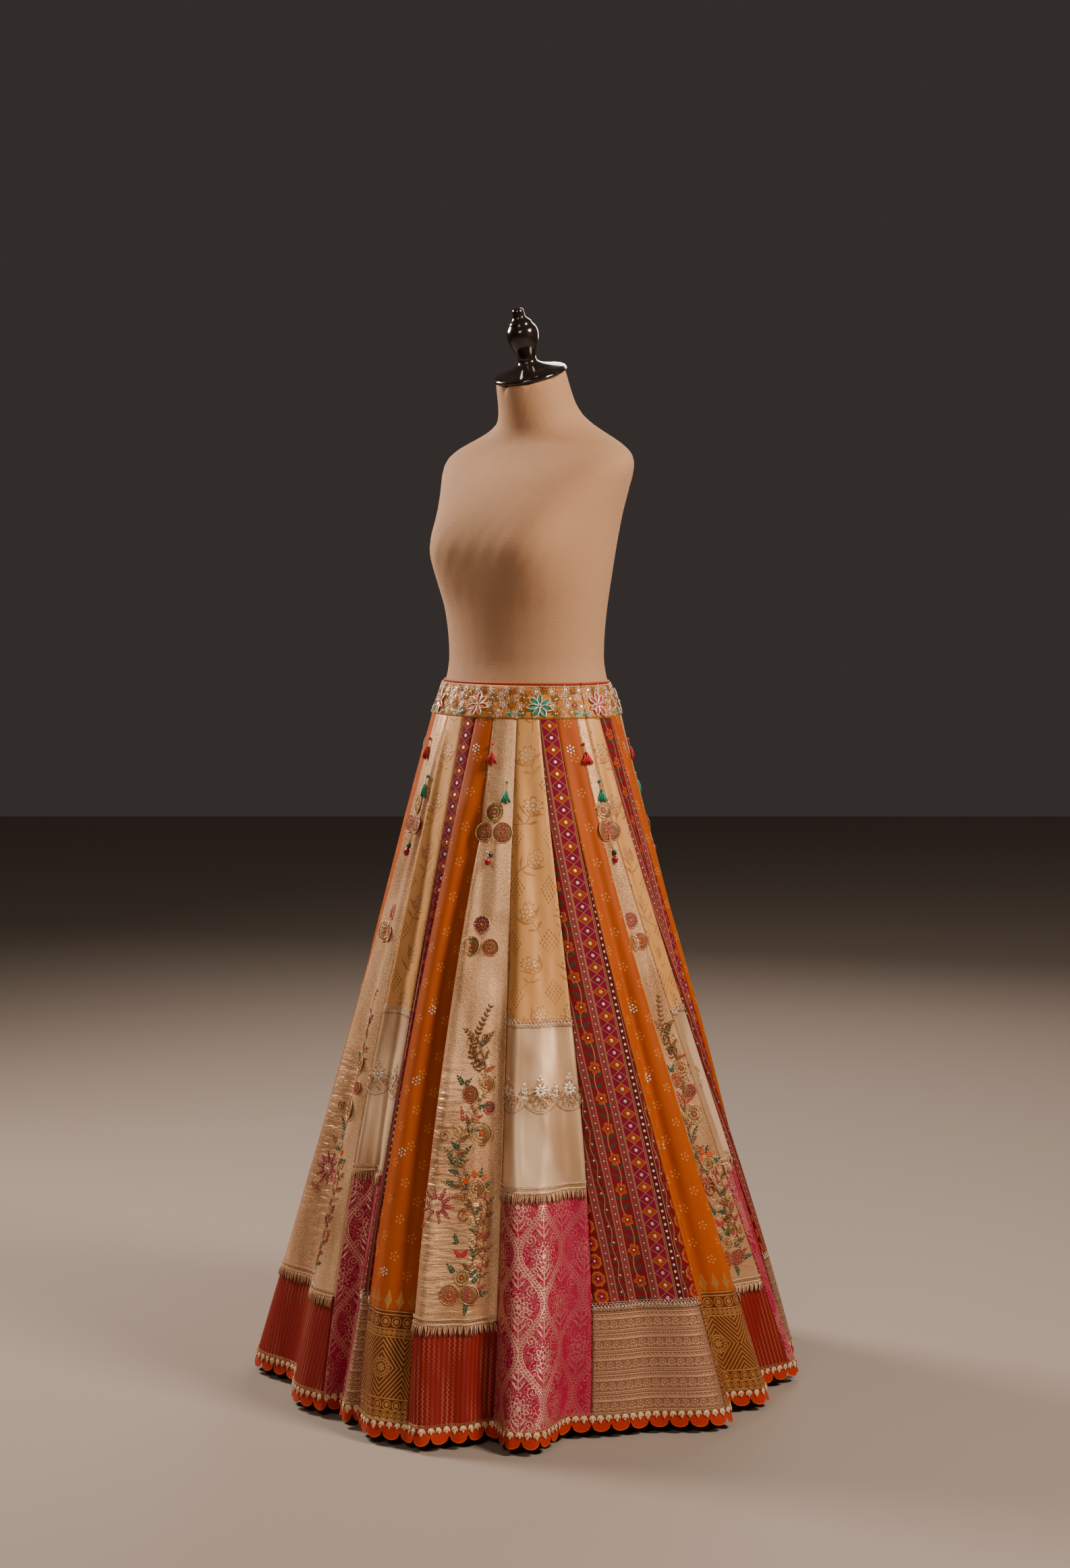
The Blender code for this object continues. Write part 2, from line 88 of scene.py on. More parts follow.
Lamp = namedtuple("Lamp", "name right near height size power colour")
LAMPS = (
    Lamp("right_light", 1.9, 1.3, 2.6, 0.8, 116, (1.0, 0.84, 0.68)),
    Lamp("left_light", -1.9, -1.1, 2.3, 0.7, 108, (1.0, 0.86, 0.72)),
    Lamp("front_light", -1.0, 3.0, 2.6, 1.0, 26, (1.0, 0.84, 0.68)),
    Lamp("back_light", 0.8, -3.0, 2.4, 1.6, 50, (1.0, 0.88, 0.78)),
)


def link(thing):
    bpy.context.scene.collection.objects.link(thing)
    return thing


def add_lamp(lamp):
    data = bpy.data.lights.new(lamp.name, "AREA")
    data.size = lamp.size
    data.energy = lamp.power
    data.color = lamp.colour
    made = link(bpy.data.objects.new(lamp.name, data))
    made.location = TO_RIGHT * lamp.right + TO_CAMERA * lamp.near + Vector((0, 0, lamp.height))
    aim = Vector((0, 0, AIM_HEIGHT)) - made.location
    made.rotation_euler = aim.to_track_quat("-Z", "Y").to_euler()


for lamp in LAMPS:
    add_lamp(lamp)

world = bpy.data.worlds.new("studio")
world.use_nodes = True
sky = world.node_tree.nodes["Background"]
sky.inputs["Color"].default_value = (*SKY_COLOUR, 1)
sky.inputs["Strength"].default_value = SKY_STRENGTH
bpy.context.scene.world = world

along, aside = TO_CAMERA * FLOOR_SIZE / 2, TO_RIGHT * FLOOR_SIZE / 2
floor_mesh = bpy.data.meshes.new("floor")
floor_mesh.from_pydata([along - aside, along + aside, aside - along, -aside - along], [], [(0, 1, 2, 3)])
floor = link(bpy.data.objects.new("floor", floor_mesh))
print("floor and", len(LAMPS), "lights")

# %% [markdown]
# ## Fields: arithmetic with shader sockets
#
# Every woven pattern here is arithmetic on the cloth's own coordinates: x metres across a panel from its
# middle and y metres above the floor. Chains of Math nodes are slow to write by hand, so `Field` wraps a
# socket and lets ordinary Python operators add the nodes.

# %% The Field helper


class Field:
    """A number that varies over the cloth, held as a socket in a shader tree."""

    def __init__(self, tree, source):
        self.tree = tree
        self.source = source

    def math(self, operation, *others):
        node = self.tree.nodes.new("ShaderNodeMath")
        node.operation = operation
        for socket, value in zip(node.inputs, (self, *others)):
            feed(self.tree, socket, value)
        return Field(self.tree, node.outputs[0])

    def __add__(self, other):
        return self.math("ADD", other)

    def __radd__(self, other):
        return self.math("ADD", other)

    def __sub__(self, other):
        return self.math("SUBTRACT", other)

    def __rsub__(self, other):
        return (self * -1).math("ADD", other)

    def __mul__(self, other):
        return self.math("MULTIPLY", other)

    def __rmul__(self, other):
        return self.math("MULTIPLY", other)

    def __truediv__(self, other):
        return self.math("DIVIDE", other)

    def sin(self):
        return self.math("SINE")

    def cos(self):
        return self.math("COSINE")

    def abs(self):
        return self.math("ABSOLUTE")

    def wrap(self, period):
        """The field folded into 0 to period."""
        return self.math("FLOORED_MODULO", period)

    def centred(self, period):
        """The distance, with its sign, from the nearest whole multiple of period."""
        return (self + period / 2).wrap(period) - period / 2

    def upper_of(self, other):
        return self.math("MAXIMUM", other)

    def rising(self, start, end):
        """A smooth step from 0 at start to 1 at end. It falls where end is below start."""
        node = self.tree.nodes.new("ShaderNodeMapRange")
        node.interpolation_type = "SMOOTHSTEP"
        feed(self.tree, node.inputs["Value"], self)
        low, high = min(start, end), max(start, end)
        node.inputs["From Min"].default_value = low
        node.inputs["From Max"].default_value = high
        node.inputs["To Min"].default_value = 0.0 if end > start else 1.0
        node.inputs["To Max"].default_value = 1.0 if end > start else 0.0
        return Field(self.tree, node.outputs["Result"])

    def within(self, start, end, blur=0.0003):
        """1 between start and end, with soft edges."""
        return self.rising(start - blur, start + blur) * self.rising(end + blur, end - blur)


def feed(tree, socket, value):
    """Joins a field to a socket, or sets a plain number or colour on it."""
    if isinstance(value, Field):
        tree.links.new(value.source, socket)
    elif isinstance(value, (tuple, list)) and len(value) == 3 and socket.type == "RGBA":
        socket.default_value = (*value, 1)
    else:
        socket.default_value = value


def radius_of(x, y):
    return (x * x + y * y).math("SQRT")


def angle_of(x, y):
    return y.math("ARCTAN2", x)


# A Mix node has a set of sockets for each data type. These are the ones for colours.
MIX_FIRST, MIX_SECOND, MIX_RESULT = 6, 7, 2


def blend(tree, share, first, second):
    """The first colour where share is 0 and the second where it is 1."""
    node = tree.nodes.new("ShaderNodeMix")
    node.data_type = "RGBA"
    feed(tree, node.inputs["Factor"], share)
    feed(tree, node.inputs[MIX_FIRST], first)
    feed(tree, node.inputs[MIX_SECOND], second)
    return Field(tree, node.outputs[MIX_RESULT])


def noise(tree, scale, detail=2.0, stretch=(1, 1, 1)):
    """Cloud noise on the object's own coordinates, stretched along each axis."""
    coordinates = tree.nodes.new("ShaderNodeTexCoord")
    mapping = tree.nodes.new("ShaderNodeMapping")
    mapping.inputs["Scale"].default_value = stretch
    tree.links.new(coordinates.outputs["Object"], mapping.inputs["Vector"])
    node = tree.nodes.new("ShaderNodeTexNoise")
    node.inputs["Scale"].default_value = scale
    node.inputs["Detail"].default_value = detail
    tree.links.new(mapping.outputs["Vector"], node.inputs["Vector"])
    return Field(tree, node.outputs[0])


def cloth_xy(tree):
    """The panel's own coordinates in metres: across from its middle, and height above the floor."""
    coordinates = tree.nodes.new("ShaderNodeUVMap")
    coordinates.uv_map = "cloth"
    split = tree.nodes.new("ShaderNodeSeparateXYZ")
    tree.links.new(coordinates.outputs["UV"], split.inputs["Vector"])
    return Field(tree, split.outputs["X"]), Field(tree, split.outputs["Y"])


print("fields ready")

# %% [markdown]
# ## Shared shader groups
#
# Two effects belong to every cloth here. `woven_thread` is the fine grid of warp and weft, which gives a
# height for bump and a shade for the colour. `cloth_mottle` is the slow, uneven tone of hand-finished silk.
# Each is a node group, built once and given its own values in each material.

# %% Weave and mottle groups


def new_group(name, inputs, outputs):
    group = bpy.data.node_groups.new(name, "ShaderNodeTree")
    for title, value in inputs:
        socket = group.interface.new_socket(title, in_out="INPUT", socket_type="NodeSocketFloat")
        socket.default_value = value
    for title in outputs:
        group.interface.new_socket(title, in_out="OUTPUT", socket_type="NodeSocketFloat")
    start = group.nodes.new("NodeGroupInput")
    end = group.nodes.new("NodeGroupOutput")
    fields = {title: Field(group, start.outputs[title]) for title, _ in inputs}
    return group, fields, end


def place_group(tree, name, **values):
    """The group in a material, with values for its inputs. Returns its outputs as fields."""
    node = tree.nodes.new("ShaderNodeGroup")
    node.node_tree = bpy.data.node_groups[name]
    for title, value in values.items():
        feed(tree, node.inputs[title.replace("_", " ").title()], value)
    return {socket.name: Field(tree, socket) for socket in node.outputs}


group, given, end = new_group(
    "woven_thread", [("X", 0.0), ("Y", 0.0), ("Pitch", 0.0006), ("Shade Depth", 0.1)], ["Height", "Shade"]
)
warp = (given["X"] / given["Pitch"] * math.tau).sin()
weft = (given["Y"] / given["Pitch"] * math.tau).sin()
grid = warp * weft * 0.5 + 0.5
feed(group, end.inputs["Height"], grid)
feed(group, end.inputs["Shade"], 1.0 - given["Shade Depth"] * grid)

group, given, end = new_group("cloth_mottle", [("Amount", 0.1)], ["Shade"])
clouds = noise(group, 14.0, 3.0) * 0.6 + noise(group, 160.0, 2.0) * 0.4
feed(group, end.inputs["Shade"], 1.0 + (clouds - 0.5) * 2 * given["Amount"])
print("groups:", [made.name for made in bpy.data.node_groups])

# %% [markdown]
# ## Building a material
#
# `Finish` opens a material, and collects its colour and its relief. The Principled shader stays in the
# material, and what is the same all over the cloth, such as sheen, is set on its own sockets.

# %% The Finish helper


class Finish:
    """A material under construction, with the cloth's coordinates at hand."""

    def __init__(self, name, roughness, metallic=0.0, **fixed):
        self.material = bpy.data.materials.new(name)
        self.material.use_nodes = True
        self.tree = self.material.node_tree
        self.shader = self.tree.nodes["Principled BSDF"]
        self.shader.inputs["Roughness"].default_value = roughness
        self.shader.inputs["Metallic"].default_value = metallic
        for title, value in fixed.items():
            self.set(title.replace("_", " ").title().replace("Ior", "IOR"), value)
        self.height = None

    def xy(self):
        return cloth_xy(self.tree)

    def woven(self, pitch, depth):
        """The cloth's coordinates, and the height and shade of a weave laid along them."""
        x, y = self.xy()
        return x, y, place_group(self.tree, "woven_thread", x=x, y=y, pitch=pitch, shade_depth=depth)

    def mix(self, share, first, second):
        return blend(self.tree, share, first, second)

    def set(self, title, value):
        feed(self.tree, self.shader.inputs[title], value)

    def tint(self, colour, shade):
        """The colour made lighter or darker by a field round 1."""
        node = self.tree.nodes.new("ShaderNodeVectorMath")
        node.operation = "MULTIPLY"
        feed(self.tree, node.inputs[0], colour)
        self.tree.links.new(shade.source, node.inputs[1])
        return Field(self.tree, node.outputs[0])

    def raise_by(self, field, metres):
        """Adds a field to the relief, so many metres high where it is 1."""
        part = field * metres
        self.height = part if self.height is None else self.height + part

    def done(self, colour, mottle=0.08):
        shade = place_group(self.tree, "cloth_mottle", amount=mottle)["Shade"]
        self.set("Base Color", self.tint(colour, shade))
        if self.height is not None:
            bump = self.tree.nodes.new("ShaderNodeBump")
            bump.inputs["Distance"].default_value = 1.0
            feed(self.tree, bump.inputs["Height"], self.height)
            self.tree.links.new(bump.outputs["Normal"], self.shader.inputs["Normal"])
        return self.material


floor_mesh.materials.append(Finish("studio_floor", 0.8).done(FLOOR_COLOUR, 0.02))
print("finishes ready")

# %% [markdown]
# ## The hang of the cloth
#
# The skirt hangs from the waist in a cone that is oval at the band and round at the hem. Each seam swings
# to its own angle on the way down, and folds grow in depth towards the hem. These are the same sizes as the
# solids' own, but read at many more points, so that folds turn softly.

# %% Sizes of the skirt
BAND_TOP = 1.012
BAND_BOTTOM = 0.966
LACE_SEAM = 0.555
HIGH_FRINGE_SEAM = 0.334
ZARI_SEAM = 0.175
LOW_FRINGE_SEAM = 0.161
CLOTH_HEM = 0.030
HEM_HEIGHT = 0.012
SCALLOP_ROOT = 0.021
SCALLOP_TIP = 0.010
SEAM_GAP = 0.0003

KINDS = ("orange", "tissue", "brocade", "strip")
PANELS = 24

Ellipse = namedtuple("Ellipse", "half_width half_depth")
WAIST = Ellipse(0.1461, 0.1184)
KNEE = Ellipse(0.2600, 0.2480)
HEM = Ellipse(0.3850, 0.3850)

# %% The angle of each seam, in degrees
Seam = namedtuple("Seam", "waist knee hem")
SEAMS = (
    Seam(-58.0, -58.0, -58.0),
    Seam(-41.0, -45.5, -51.5),
    Seam(-23.0, -20.5, -12.0),
    Seam(-8.5, -7.5, -7.0),
    Seam(0.5, -4.0, 2.5),
    Seam(12.0, 9.5, 14.5),
    Seam(26.5, 30.0, 30.5),
    Seam(40.0, 53.0, 52.5),
    Seam(50.5, 72.0, 81.5),
    Seam(63.2, 86.0, 101.0),
    Seam(70.5, 97.0, 117.0),
    Seam(82.2, 108.0, 132.0),
    Seam(95.0, 124.0, 151.0),
    Seam(112.0, 137.0, 161.0),
    Seam(132.0, 153.0, 173.5),
    Seam(149.0, 168.0, 186.0),
    Seam(164.0, 184.0, 201.5),
    Seam(180.0, 195.0, 211.0),
    Seam(200.0, 210.0, 223.0),
    Seam(217.0, 225.0, 236.0),
    Seam(232.0, 240.0, 251.5),
    Seam(247.0, 254.0, 261.0),
    Seam(267.0, 270.0, 273.0),
    Seam(285.0, 286.0, 286.0),
)

# %% The crests and troughs of the folds, in millimetres
Fold = namedtuple("Fold", "place knee hem")
FOLDS = (
    Fold(0.0, 0, 2),
    Fold(0.4, 6, 10),
    Fold(1.0, 8, 15),
    Fold(1.4, -9, -36),
    Fold(1.8, 4, -5),
    Fold(2.0, 0, -13),
    Fold(2.4, -17, -52),
    Fold(3.0, -5, -20),
    Fold(3.4, -2, -6),
    Fold(3.8, -7, -24),
    Fold(4.0, 3, 8),
    Fold(4.4, 9, 26),
    Fold(5.0, -8, 24),
    Fold(5.2, 6, 36),
    Fold(5.6, 4, 8),
    Fold(6.0, -7, -25),
    Fold(6.2, 9, 23),
    Fold(6.4, 7, 26),
    Fold(6.8, -8, -42),
    Fold(7.4, -3, -32),
    Fold(8.0, 8, 21),
    Fold(8.4, -9, -24),
    Fold(8.8, 6, 8),
    Fold(9.4, -10, -28),
    Fold(10.2, 7, 15),
    Fold(10.6, -9, -28),
    Fold(11.2, 8, 18),
    Fold(11.6, -10, -30),
    Fold(12.2, 7, 16),
    Fold(12.6, -8, -22),
    Fold(13.0, 7, 16),
    Fold(13.4, -9, -26),
    Fold(14.0, 6, 18),
    Fold(14.4, -8, -22),
    Fold(15.0, 8, 20),
    Fold(15.4, -10, -32),
    Fold(15.8, 6, 12),
    Fold(16.4, -8, -24),
    Fold(17.0, 8, 20),
    Fold(17.4, -8, -28),
    Fold(18.0, 7, 16),
    Fold(18.4, -9, -24),
    Fold(19.0, 8, 22),
    Fold(19.4, -10, -34),
    Fold(20.0, 6, 12),
    Fold(20.6, -6, -20),
    Fold(21.2, 8, 20),
    Fold(21.6, -9, -28),
    Fold(22.2, 7, 16),
    Fold(22.6, -9, -26),
    Fold(23.2, 6, 12),
    Fold(23.6, -8, -22),
    Fold(24.0, 0, 2),
)

# %% From a place on the skirt to a point in space


def curve_through(waist, knee, hem, drop):
    """The parabola through values at drop 0, 0.5 and 1."""
    near_waist = (1 - drop) * (1 - 2 * drop)
    near_hem = drop * (2 * drop - 1)
    return waist * near_waist + knee * 4 * drop * (1 - drop) + hem * near_hem


def panels_of(kind):
    return range(KINDS.index(kind), PANELS, len(KINDS))


seam_angles = np.array([*SEAMS, [angle + 360 for angle in SEAMS[0]]])
fold_places = np.array([fold.place for fold in FOLDS])
fold_depths = np.array([(fold.knee, fold.hem) for fold in FOLDS]) / 1000


def hung_points(place, height):
    """Points of the smooth hanging cloth, for arrays of places and heights."""
    place, height = np.broadcast_arrays(np.asarray(place, float), np.asarray(height, float))
    turns = np.floor(place / PANELS)
    place = place - turns * PANELS
    drop = (BAND_BOTTOM - height) / (BAND_BOTTOM - HEM_HEIGHT)
    panel = np.minimum(np.floor(place).astype(int), PANELS - 1)
    share = (place - panel)[..., None]
    seams = seam_angles[panel] * (1 - share) + seam_angles[panel + 1] * share
    angle = np.radians(curve_through(seams[..., 0], seams[..., 1], seams[..., 2], drop))
    fold = np.clip(np.searchsorted(fold_places, place, side="right") - 1, 0, len(FOLDS) - 2)
    along = (place - fold_places[fold]) / (fold_places[fold + 1] - fold_places[fold])
    ease = ((1 - np.cos(np.pi * along)) / 2)[..., None]
    depths = fold_depths[fold] * (1 - ease) + fold_depths[fold + 1] * ease
    out = curve_through(0, depths[..., 0], depths[..., 1], drop)
    half_width = curve_through(WAIST.half_width, KNEE.half_width, HEM.half_width, drop) + out
    half_depth = curve_through(WAIST.half_depth, KNEE.half_depth, HEM.half_depth, drop) + out
    return np.stack([half_width * np.sin(angle), -half_depth * np.cos(angle), height], axis=-1)


def unit(vectors):
    return vectors / np.linalg.norm(vectors, axis=-1, keepdims=True)


hem_line = hung_points(np.linspace(0, PANELS, PANELS * 40 + 1), CLOTH_HEM)
HEM_LENGTH = float(np.linalg.norm(np.diff(hem_line, axis=0), axis=1).sum())
print("hem", round(HEM_LENGTH, 2), "m round")

# %% [markdown]
# ## Creases
#
# Real cloth also has small creases that the solids leave out: short pulls below the band where the panels
# are eased in, long soft ridges where a panel turns, and dents where it hangs free. They are listed one by
# one, each with its own ends, width and depth, and no two are alike.

# %% The creases, with places along the skirt, heights in metres, and width and depth in millimetres
Crease = namedtuple("Crease", "place_top top place_foot foot width depth")
CREASES = (
    Crease(0.35, 0.95, 0.42, 0.62, 9, 2.0),
    Crease(0.70, 0.80, 0.66, 0.30, 12, -2.2),
    Crease(1.30, 0.95, 1.42, 0.84, 5, -1.8),
    Crease(1.48, 0.96, 1.58, 0.80, 5, 1.8),
    Crease(1.66, 0.96, 1.70, 0.82, 4, -1.8),
    Crease(1.78, 0.96, 1.86, 0.76, 5, 2.2),
    Crease(1.92, 0.92, 1.95, 0.60, 6, -2.4),
    Crease(1.55, 0.84, 1.44, 0.70, 8, -2.2),
    Crease(1.30, 0.70, 1.22, 0.40, 14, 2.6),
    Crease(1.60, 0.55, 1.62, 0.22, 12, -2.5),
    Crease(2.15, 0.95, 2.10, 0.62, 6, 2.6),
    Crease(2.45, 0.80, 2.50, 0.60, 9, -2.0),
    Crease(2.62, 0.50, 2.66, 0.36, 12, 2.0),
    Crease(3.50, 0.90, 3.45, 0.50, 8, -1.5),
    Crease(4.30, 0.88, 4.34, 0.40, 14, 2.0),
    Crease(4.66, 0.70, 4.62, 0.26, 12, -2.0),
    Crease(4.82, 0.84, 4.88, 0.02, 20, -12.0),
    Crease(5.10, 0.80, 5.09, 0.05, 15, 9.0),
    Crease(5.30, 0.94, 5.34, 0.62, 14, -1.8),
    Crease(5.72, 0.86, 5.78, 0.52, 13, 1.8),
    Crease(5.82, 0.70, 5.84, 0.04, 18, -8.0),
    Crease(6.09, 0.60, 6.08, 0.04, 13, 5.0),
    Crease(5.28, 0.40, 5.36, 0.20, 18, -2.0),
    Crease(6.28, 0.93, 6.34, 0.60, 10, 1.8),
    Crease(6.52, 0.88, 6.56, 0.57, 9, -1.6),
    Crease(6.76, 0.93, 6.70, 0.58, 8, 1.4),
    Crease(6.30, 0.52, 6.28, 0.36, 14, -2.2),
    Crease(6.78, 0.54, 6.56, 0.36, 20, 3.0),
    Crease(6.38, 0.30, 6.44, 0.05, 20, -1.8),
    Crease(6.86, 0.26, 6.70, 0.08, 22, 2.6),
    Crease(7.50, 0.86, 7.52, 0.40, 10, -1.6),
    Crease(7.20, 0.50, 7.30, 0.20, 16, 1.8),
    Crease(8.28, 0.86, 8.24, 0.10, 10, 3.0),
    Crease(8.60, 0.74, 8.56, 0.06, 10, 3.2),
    Crease(8.44, 0.62, 8.42, 0.12, 9, -2.6),
    Crease(9.40, 0.93, 9.50, 0.60, 9, 2.0),
    Crease(9.74, 0.84, 9.66, 0.30, 12, -2.4),
    Crease(10.30, 0.92, 10.36, 0.62, 9, -2.0),
    Crease(10.66, 0.54, 10.58, 0.36, 13, 2.0),
    Crease(11.50, 0.80, 11.46, 0.34, 10, 1.8),
    Crease(12.30, 0.92, 12.40, 0.42, 12, 2.6),
    Crease(12.72, 0.70, 12.64, 0.10, 12, -2.4),
    Crease(13.40, 0.95, 13.48, 0.80, 6, -1.8),
    Crease(13.66, 0.88, 13.60, 0.40, 12, 2.2),
    Crease(14.36, 0.94, 14.42, 0.66, 8, 2.0),
    Crease(14.62, 0.50, 14.70, 0.36, 14, -2.2),
    Crease(15.50, 0.88, 15.44, 0.30, 11, -1.8),
    Crease(16.34, 0.84, 16.40, 0.14, 12, 2.8),
    Crease(16.70, 0.62, 16.66, 0.08, 11, -2.2),
    Crease(17.40, 0.94, 17.52, 0.60, 9, -2.2),
    Crease(17.72, 0.76, 17.66, 0.24, 13, 2.0),
    Crease(18.40, 0.90, 18.34, 0.60, 9, 1.8),
    Crease(19.46, 0.78, 19.52, 0.30, 10, -1.8),
    Crease(20.30, 0.90, 20.36, 0.20, 12, 2.4),
    Crease(20.68, 0.66, 20.60, 0.10, 11, -2.4),
    Crease(21.36, 0.95, 21.44, 0.78, 6, 1.8),
    Crease(21.64, 0.84, 21.56, 0.30, 13, -2.2),
    Crease(22.40, 0.92, 22.46, 0.62, 8, 1.8),
    Crease(22.64, 0.52, 22.60, 0.36, 13, 2.2),
    Crease(23.46, 0.84, 23.52, 0.36, 10, -1.6),
)


# How far from a point its neighbours are taken: a share of a panel's width, and metres of height
REACH_ACROSS = 0.02
REACH_UP = 0.004


def across_and_out(place, height):
    """Unit vectors across the cloth and square out of it, and metres for each panel's width."""
    across = hung_points(place + REACH_ACROSS, height) - hung_points(place - REACH_ACROSS, height)
    rise = hung_points(place, height + REACH_UP) - hung_points(place, height - REACH_UP)
    width = np.linalg.norm(across, axis=-1) / (2 * REACH_ACROSS)
    return unit(across), unit(np.cross(across, rise)), width


def crease_depth(place, height, width):
    """How far the small creases lift or dent the cloth."""
    total = np.zeros(np.broadcast(place, height).shape)
    for crease in CREASES:
        along = (crease.top - height) / (crease.top - crease.foot)
        middle = crease.place_top + (crease.place_foot - crease.place_top) * along
        aside = (place - middle) * width * 1000 / crease.width
        fade = np.clip(along, 0, 1) * np.clip(1 - along, 0, 1) * 4
        total += crease.depth / 1000 * np.exp(-(aside**2)) * np.sqrt(fade)
    return total


def cloth_points(place, height, out=0.0):
    """Points of the creased cloth, moved out by a distance, with the directions across and out."""
    place, height = np.broadcast_arrays(np.asarray(place, float), np.asarray(height, float))
    across, square, width = across_and_out(place, height)
    lift = crease_depth(place, height, width) + out
    return hung_points(place, height) + square * lift[..., None], across, square


print("creases:", len(CREASES))

# %% [markdown]
# ## Patterns drawn with fields
#
# Small figures that the materials below share. Each returns a mask that is 1 on the figure. Sizes are in
# metres. A flower's `depth` is the share of its size that the petals swell by.

# %% Figures


def staggered(x, y, pitch_x, pitch_y):
    """The coordinates in each cell of a grid, and in a second grid moved by half a cell."""
    return (
        (x.centred(pitch_x), y.centred(pitch_y)),
        ((x + pitch_x / 2).centred(pitch_x), (y + pitch_y / 2).centred(pitch_y)),
    )


def disc(x, y, size, blur=0.0005):
    return radius_of(x, y).rising(size + blur, size - blur)


def hoop(x, y, size, half_width=0.0007):
    return (radius_of(x, y) - size).abs().rising(half_width + 0.0004, half_width - 0.0002)


def dot_ring(x, y, ring, dot, count):
    """Dots round a circle."""
    radius, angle = radius_of(x, y), angle_of(x, y).centred(math.tau / count)
    return disc(radius * angle.cos() - ring, radius * angle.sin(), dot)


def bloom(x, y, size, petals, depth=0.45):
    """A flower whose edge swells into petals."""
    angle = angle_of(x, y)
    edge = ((angle * petals / 2).sin().abs() * depth + (1 - depth)) * size
    return (radius_of(x, y) - edge).rising(0.0005, -0.0005)


def diamond(x, y, half_width, half_height, blur=0.08):
    return (x.abs() / half_width + y.abs() / half_height).rising(1 + blur, 1 - blur)


def line(field, half_width=0.0007):
    return field.abs().rising(half_width + 0.0004, half_width - 0.0002)


def any_of(*masks):
    joined = masks[0]
    for mask in masks[1:]:
        joined = joined.upper_of(mask)
    return joined


def scroll(x, y, size, pitch=0.0046):
    """A spiral line inside a circle."""
    winding = radius_of(x, y) - angle_of(x, y) * (pitch / math.tau)
    return line(winding.centred(pitch), 0.0005) * disc(x, y, size)


def leaf_pair(x, y, reach, lean):
    """Two almond leaves that grow up and away from a stem at x = 0."""
    out, up = x.abs(), y - x.abs() * lean
    return diamond(out - reach, up, reach, reach * 0.36, 0.15)


print("figures ready")

# %% [markdown]
# ## The orange organza
#
# Thin, slightly shiny silk with small pale flowers in staggered rows, each a ring of woven dots. Its hem
# carries a woven gold border: bushes over rows of rounds, and hatched diamonds that each hold a medallion.

# %% Orange organza
ORANGE = (0.55, 0.108, 0.001)
ORANGE_DEEP = (0.27, 0.034, 0.0)
PALE_GOLD = (0.70, 0.30, 0.06)
BORDER_GROUND = (0.09, 0.018, 0.002)
BORDER_GOLD = (0.52, 0.25, 0.075)
BORDER_TOP = 0.172
DIAMOND_HALF_WIDTH = 0.031
DIAMOND_HALF_HEIGHT = 0.037
DIAMOND_MIDDLE = 0.0985
BUSH_PITCH = 0.017
BUSH_MIDDLE = 0.184
BUSH_LEAVES = 0.176
DIAMOND_FIELD = (0.0615, 0.1360)
RoundRow = namedtuple("RoundRow", "height size")
ROUND_ROWS = (
    RoundRow(0.1565, 0.0066),
    RoundRow(0.1425, 0.0030),
    RoundRow(0.0525, 0.0058),
    RoundRow(0.0395, 0.0046),
)
RAIL_HEIGHTS = (0.0335, 0.0458, 0.0602, 0.1375, 0.1475, 0.1655, 0.1700)
FLOWER_PITCH_ACROSS = 0.042
FLOWER_PITCH_UP = 0.048


def organza_border(x, y):
    """The woven gold border at the hem, from its bushes down to the chain at its foot."""
    bush_x = x.centred(BUSH_PITCH)
    bush_leaves = leaf_pair(bush_x, y - BUSH_LEAVES, 0.0038, 1.2)
    bushes = any_of(diamond(bush_x, y - BUSH_MIDDLE, 0.0048, 0.0135), bush_leaves)
    u, v = x.centred(2 * DIAMOND_HALF_WIDTH), y - DIAMOND_MIDDLE
    from_middle = (u.abs() / DIAMOND_HALF_WIDTH + v.abs() / DIAMOND_HALF_HEIGHT) * DIAMOND_HALF_WIDTH
    hatching = line(from_middle.centred(0.0058), 0.0011) * (1.0 - disc(u, v, 0.0135))
    rounds = any_of(hoop(u, v, 0.0120), hoop(u, v, 0.0082), dot_ring(u, v, 0.0101, 0.0011, 16))
    medallion = any_of(rounds, bloom(u, v, 0.0062, 8))
    rows = []
    for height, size in ROUND_ROWS:
        across, up = x.centred(size * 2.3), y - height
        rows.append(any_of(hoop(across, up, size * 0.9, 0.0006), disc(across, up, size * 0.5)))
    rails = any_of(*[line(y - height, 0.0008) for height in RAIL_HEIGHTS])
    return any_of(bushes, any_of(hatching, medallion) * y.within(*DIAMOND_FIELD), *rows, rails)


def orange_organza():
    finish = Finish("orange_organza", 0.50, 0.0, sheen_weight=0.02, specular_ior_level=0.22)
    x, y, weave = finish.woven(0.0012, 0.16)
    slubs = noise(finish.tree, 30.0, 2.0, stretch=(1, 1, 0.2))
    colour = finish.mix(weave["Height"] * 0.6 + slubs * 0.4, ORANGE, ORANGE_DEEP)
    cells = staggered(x, y, FLOWER_PITCH_ACROSS, FLOWER_PITCH_UP)
    rings = [dot_ring(u, v, 0.0050, 0.0016, 5) for u, v in cells]
    hearts = [disc(u, v, 0.0012) for u, v in cells]
    flowers = any_of(*rings, *hearts) * y.rising(BORDER_TOP + 0.030, BORDER_TOP + 0.040)
    border = organza_border(x, y)
    colour = finish.mix(y.rising(BORDER_TOP + 0.001, BORDER_TOP - 0.001) * 0.85, colour, BORDER_GROUND)
    colour = finish.mix(flowers * 0.55, colour, PALE_GOLD)
    colour = finish.mix(border * 0.9, colour, BORDER_GOLD)
    finish.set("Metallic", border * 0.55)
    finish.set("Roughness", 0.50 - border * 0.14)
    finish.raise_by(weave["Height"], 0.00012)
    finish.raise_by(any_of(flowers, border), 0.00026)
    return finish.done(colour, 0.10)
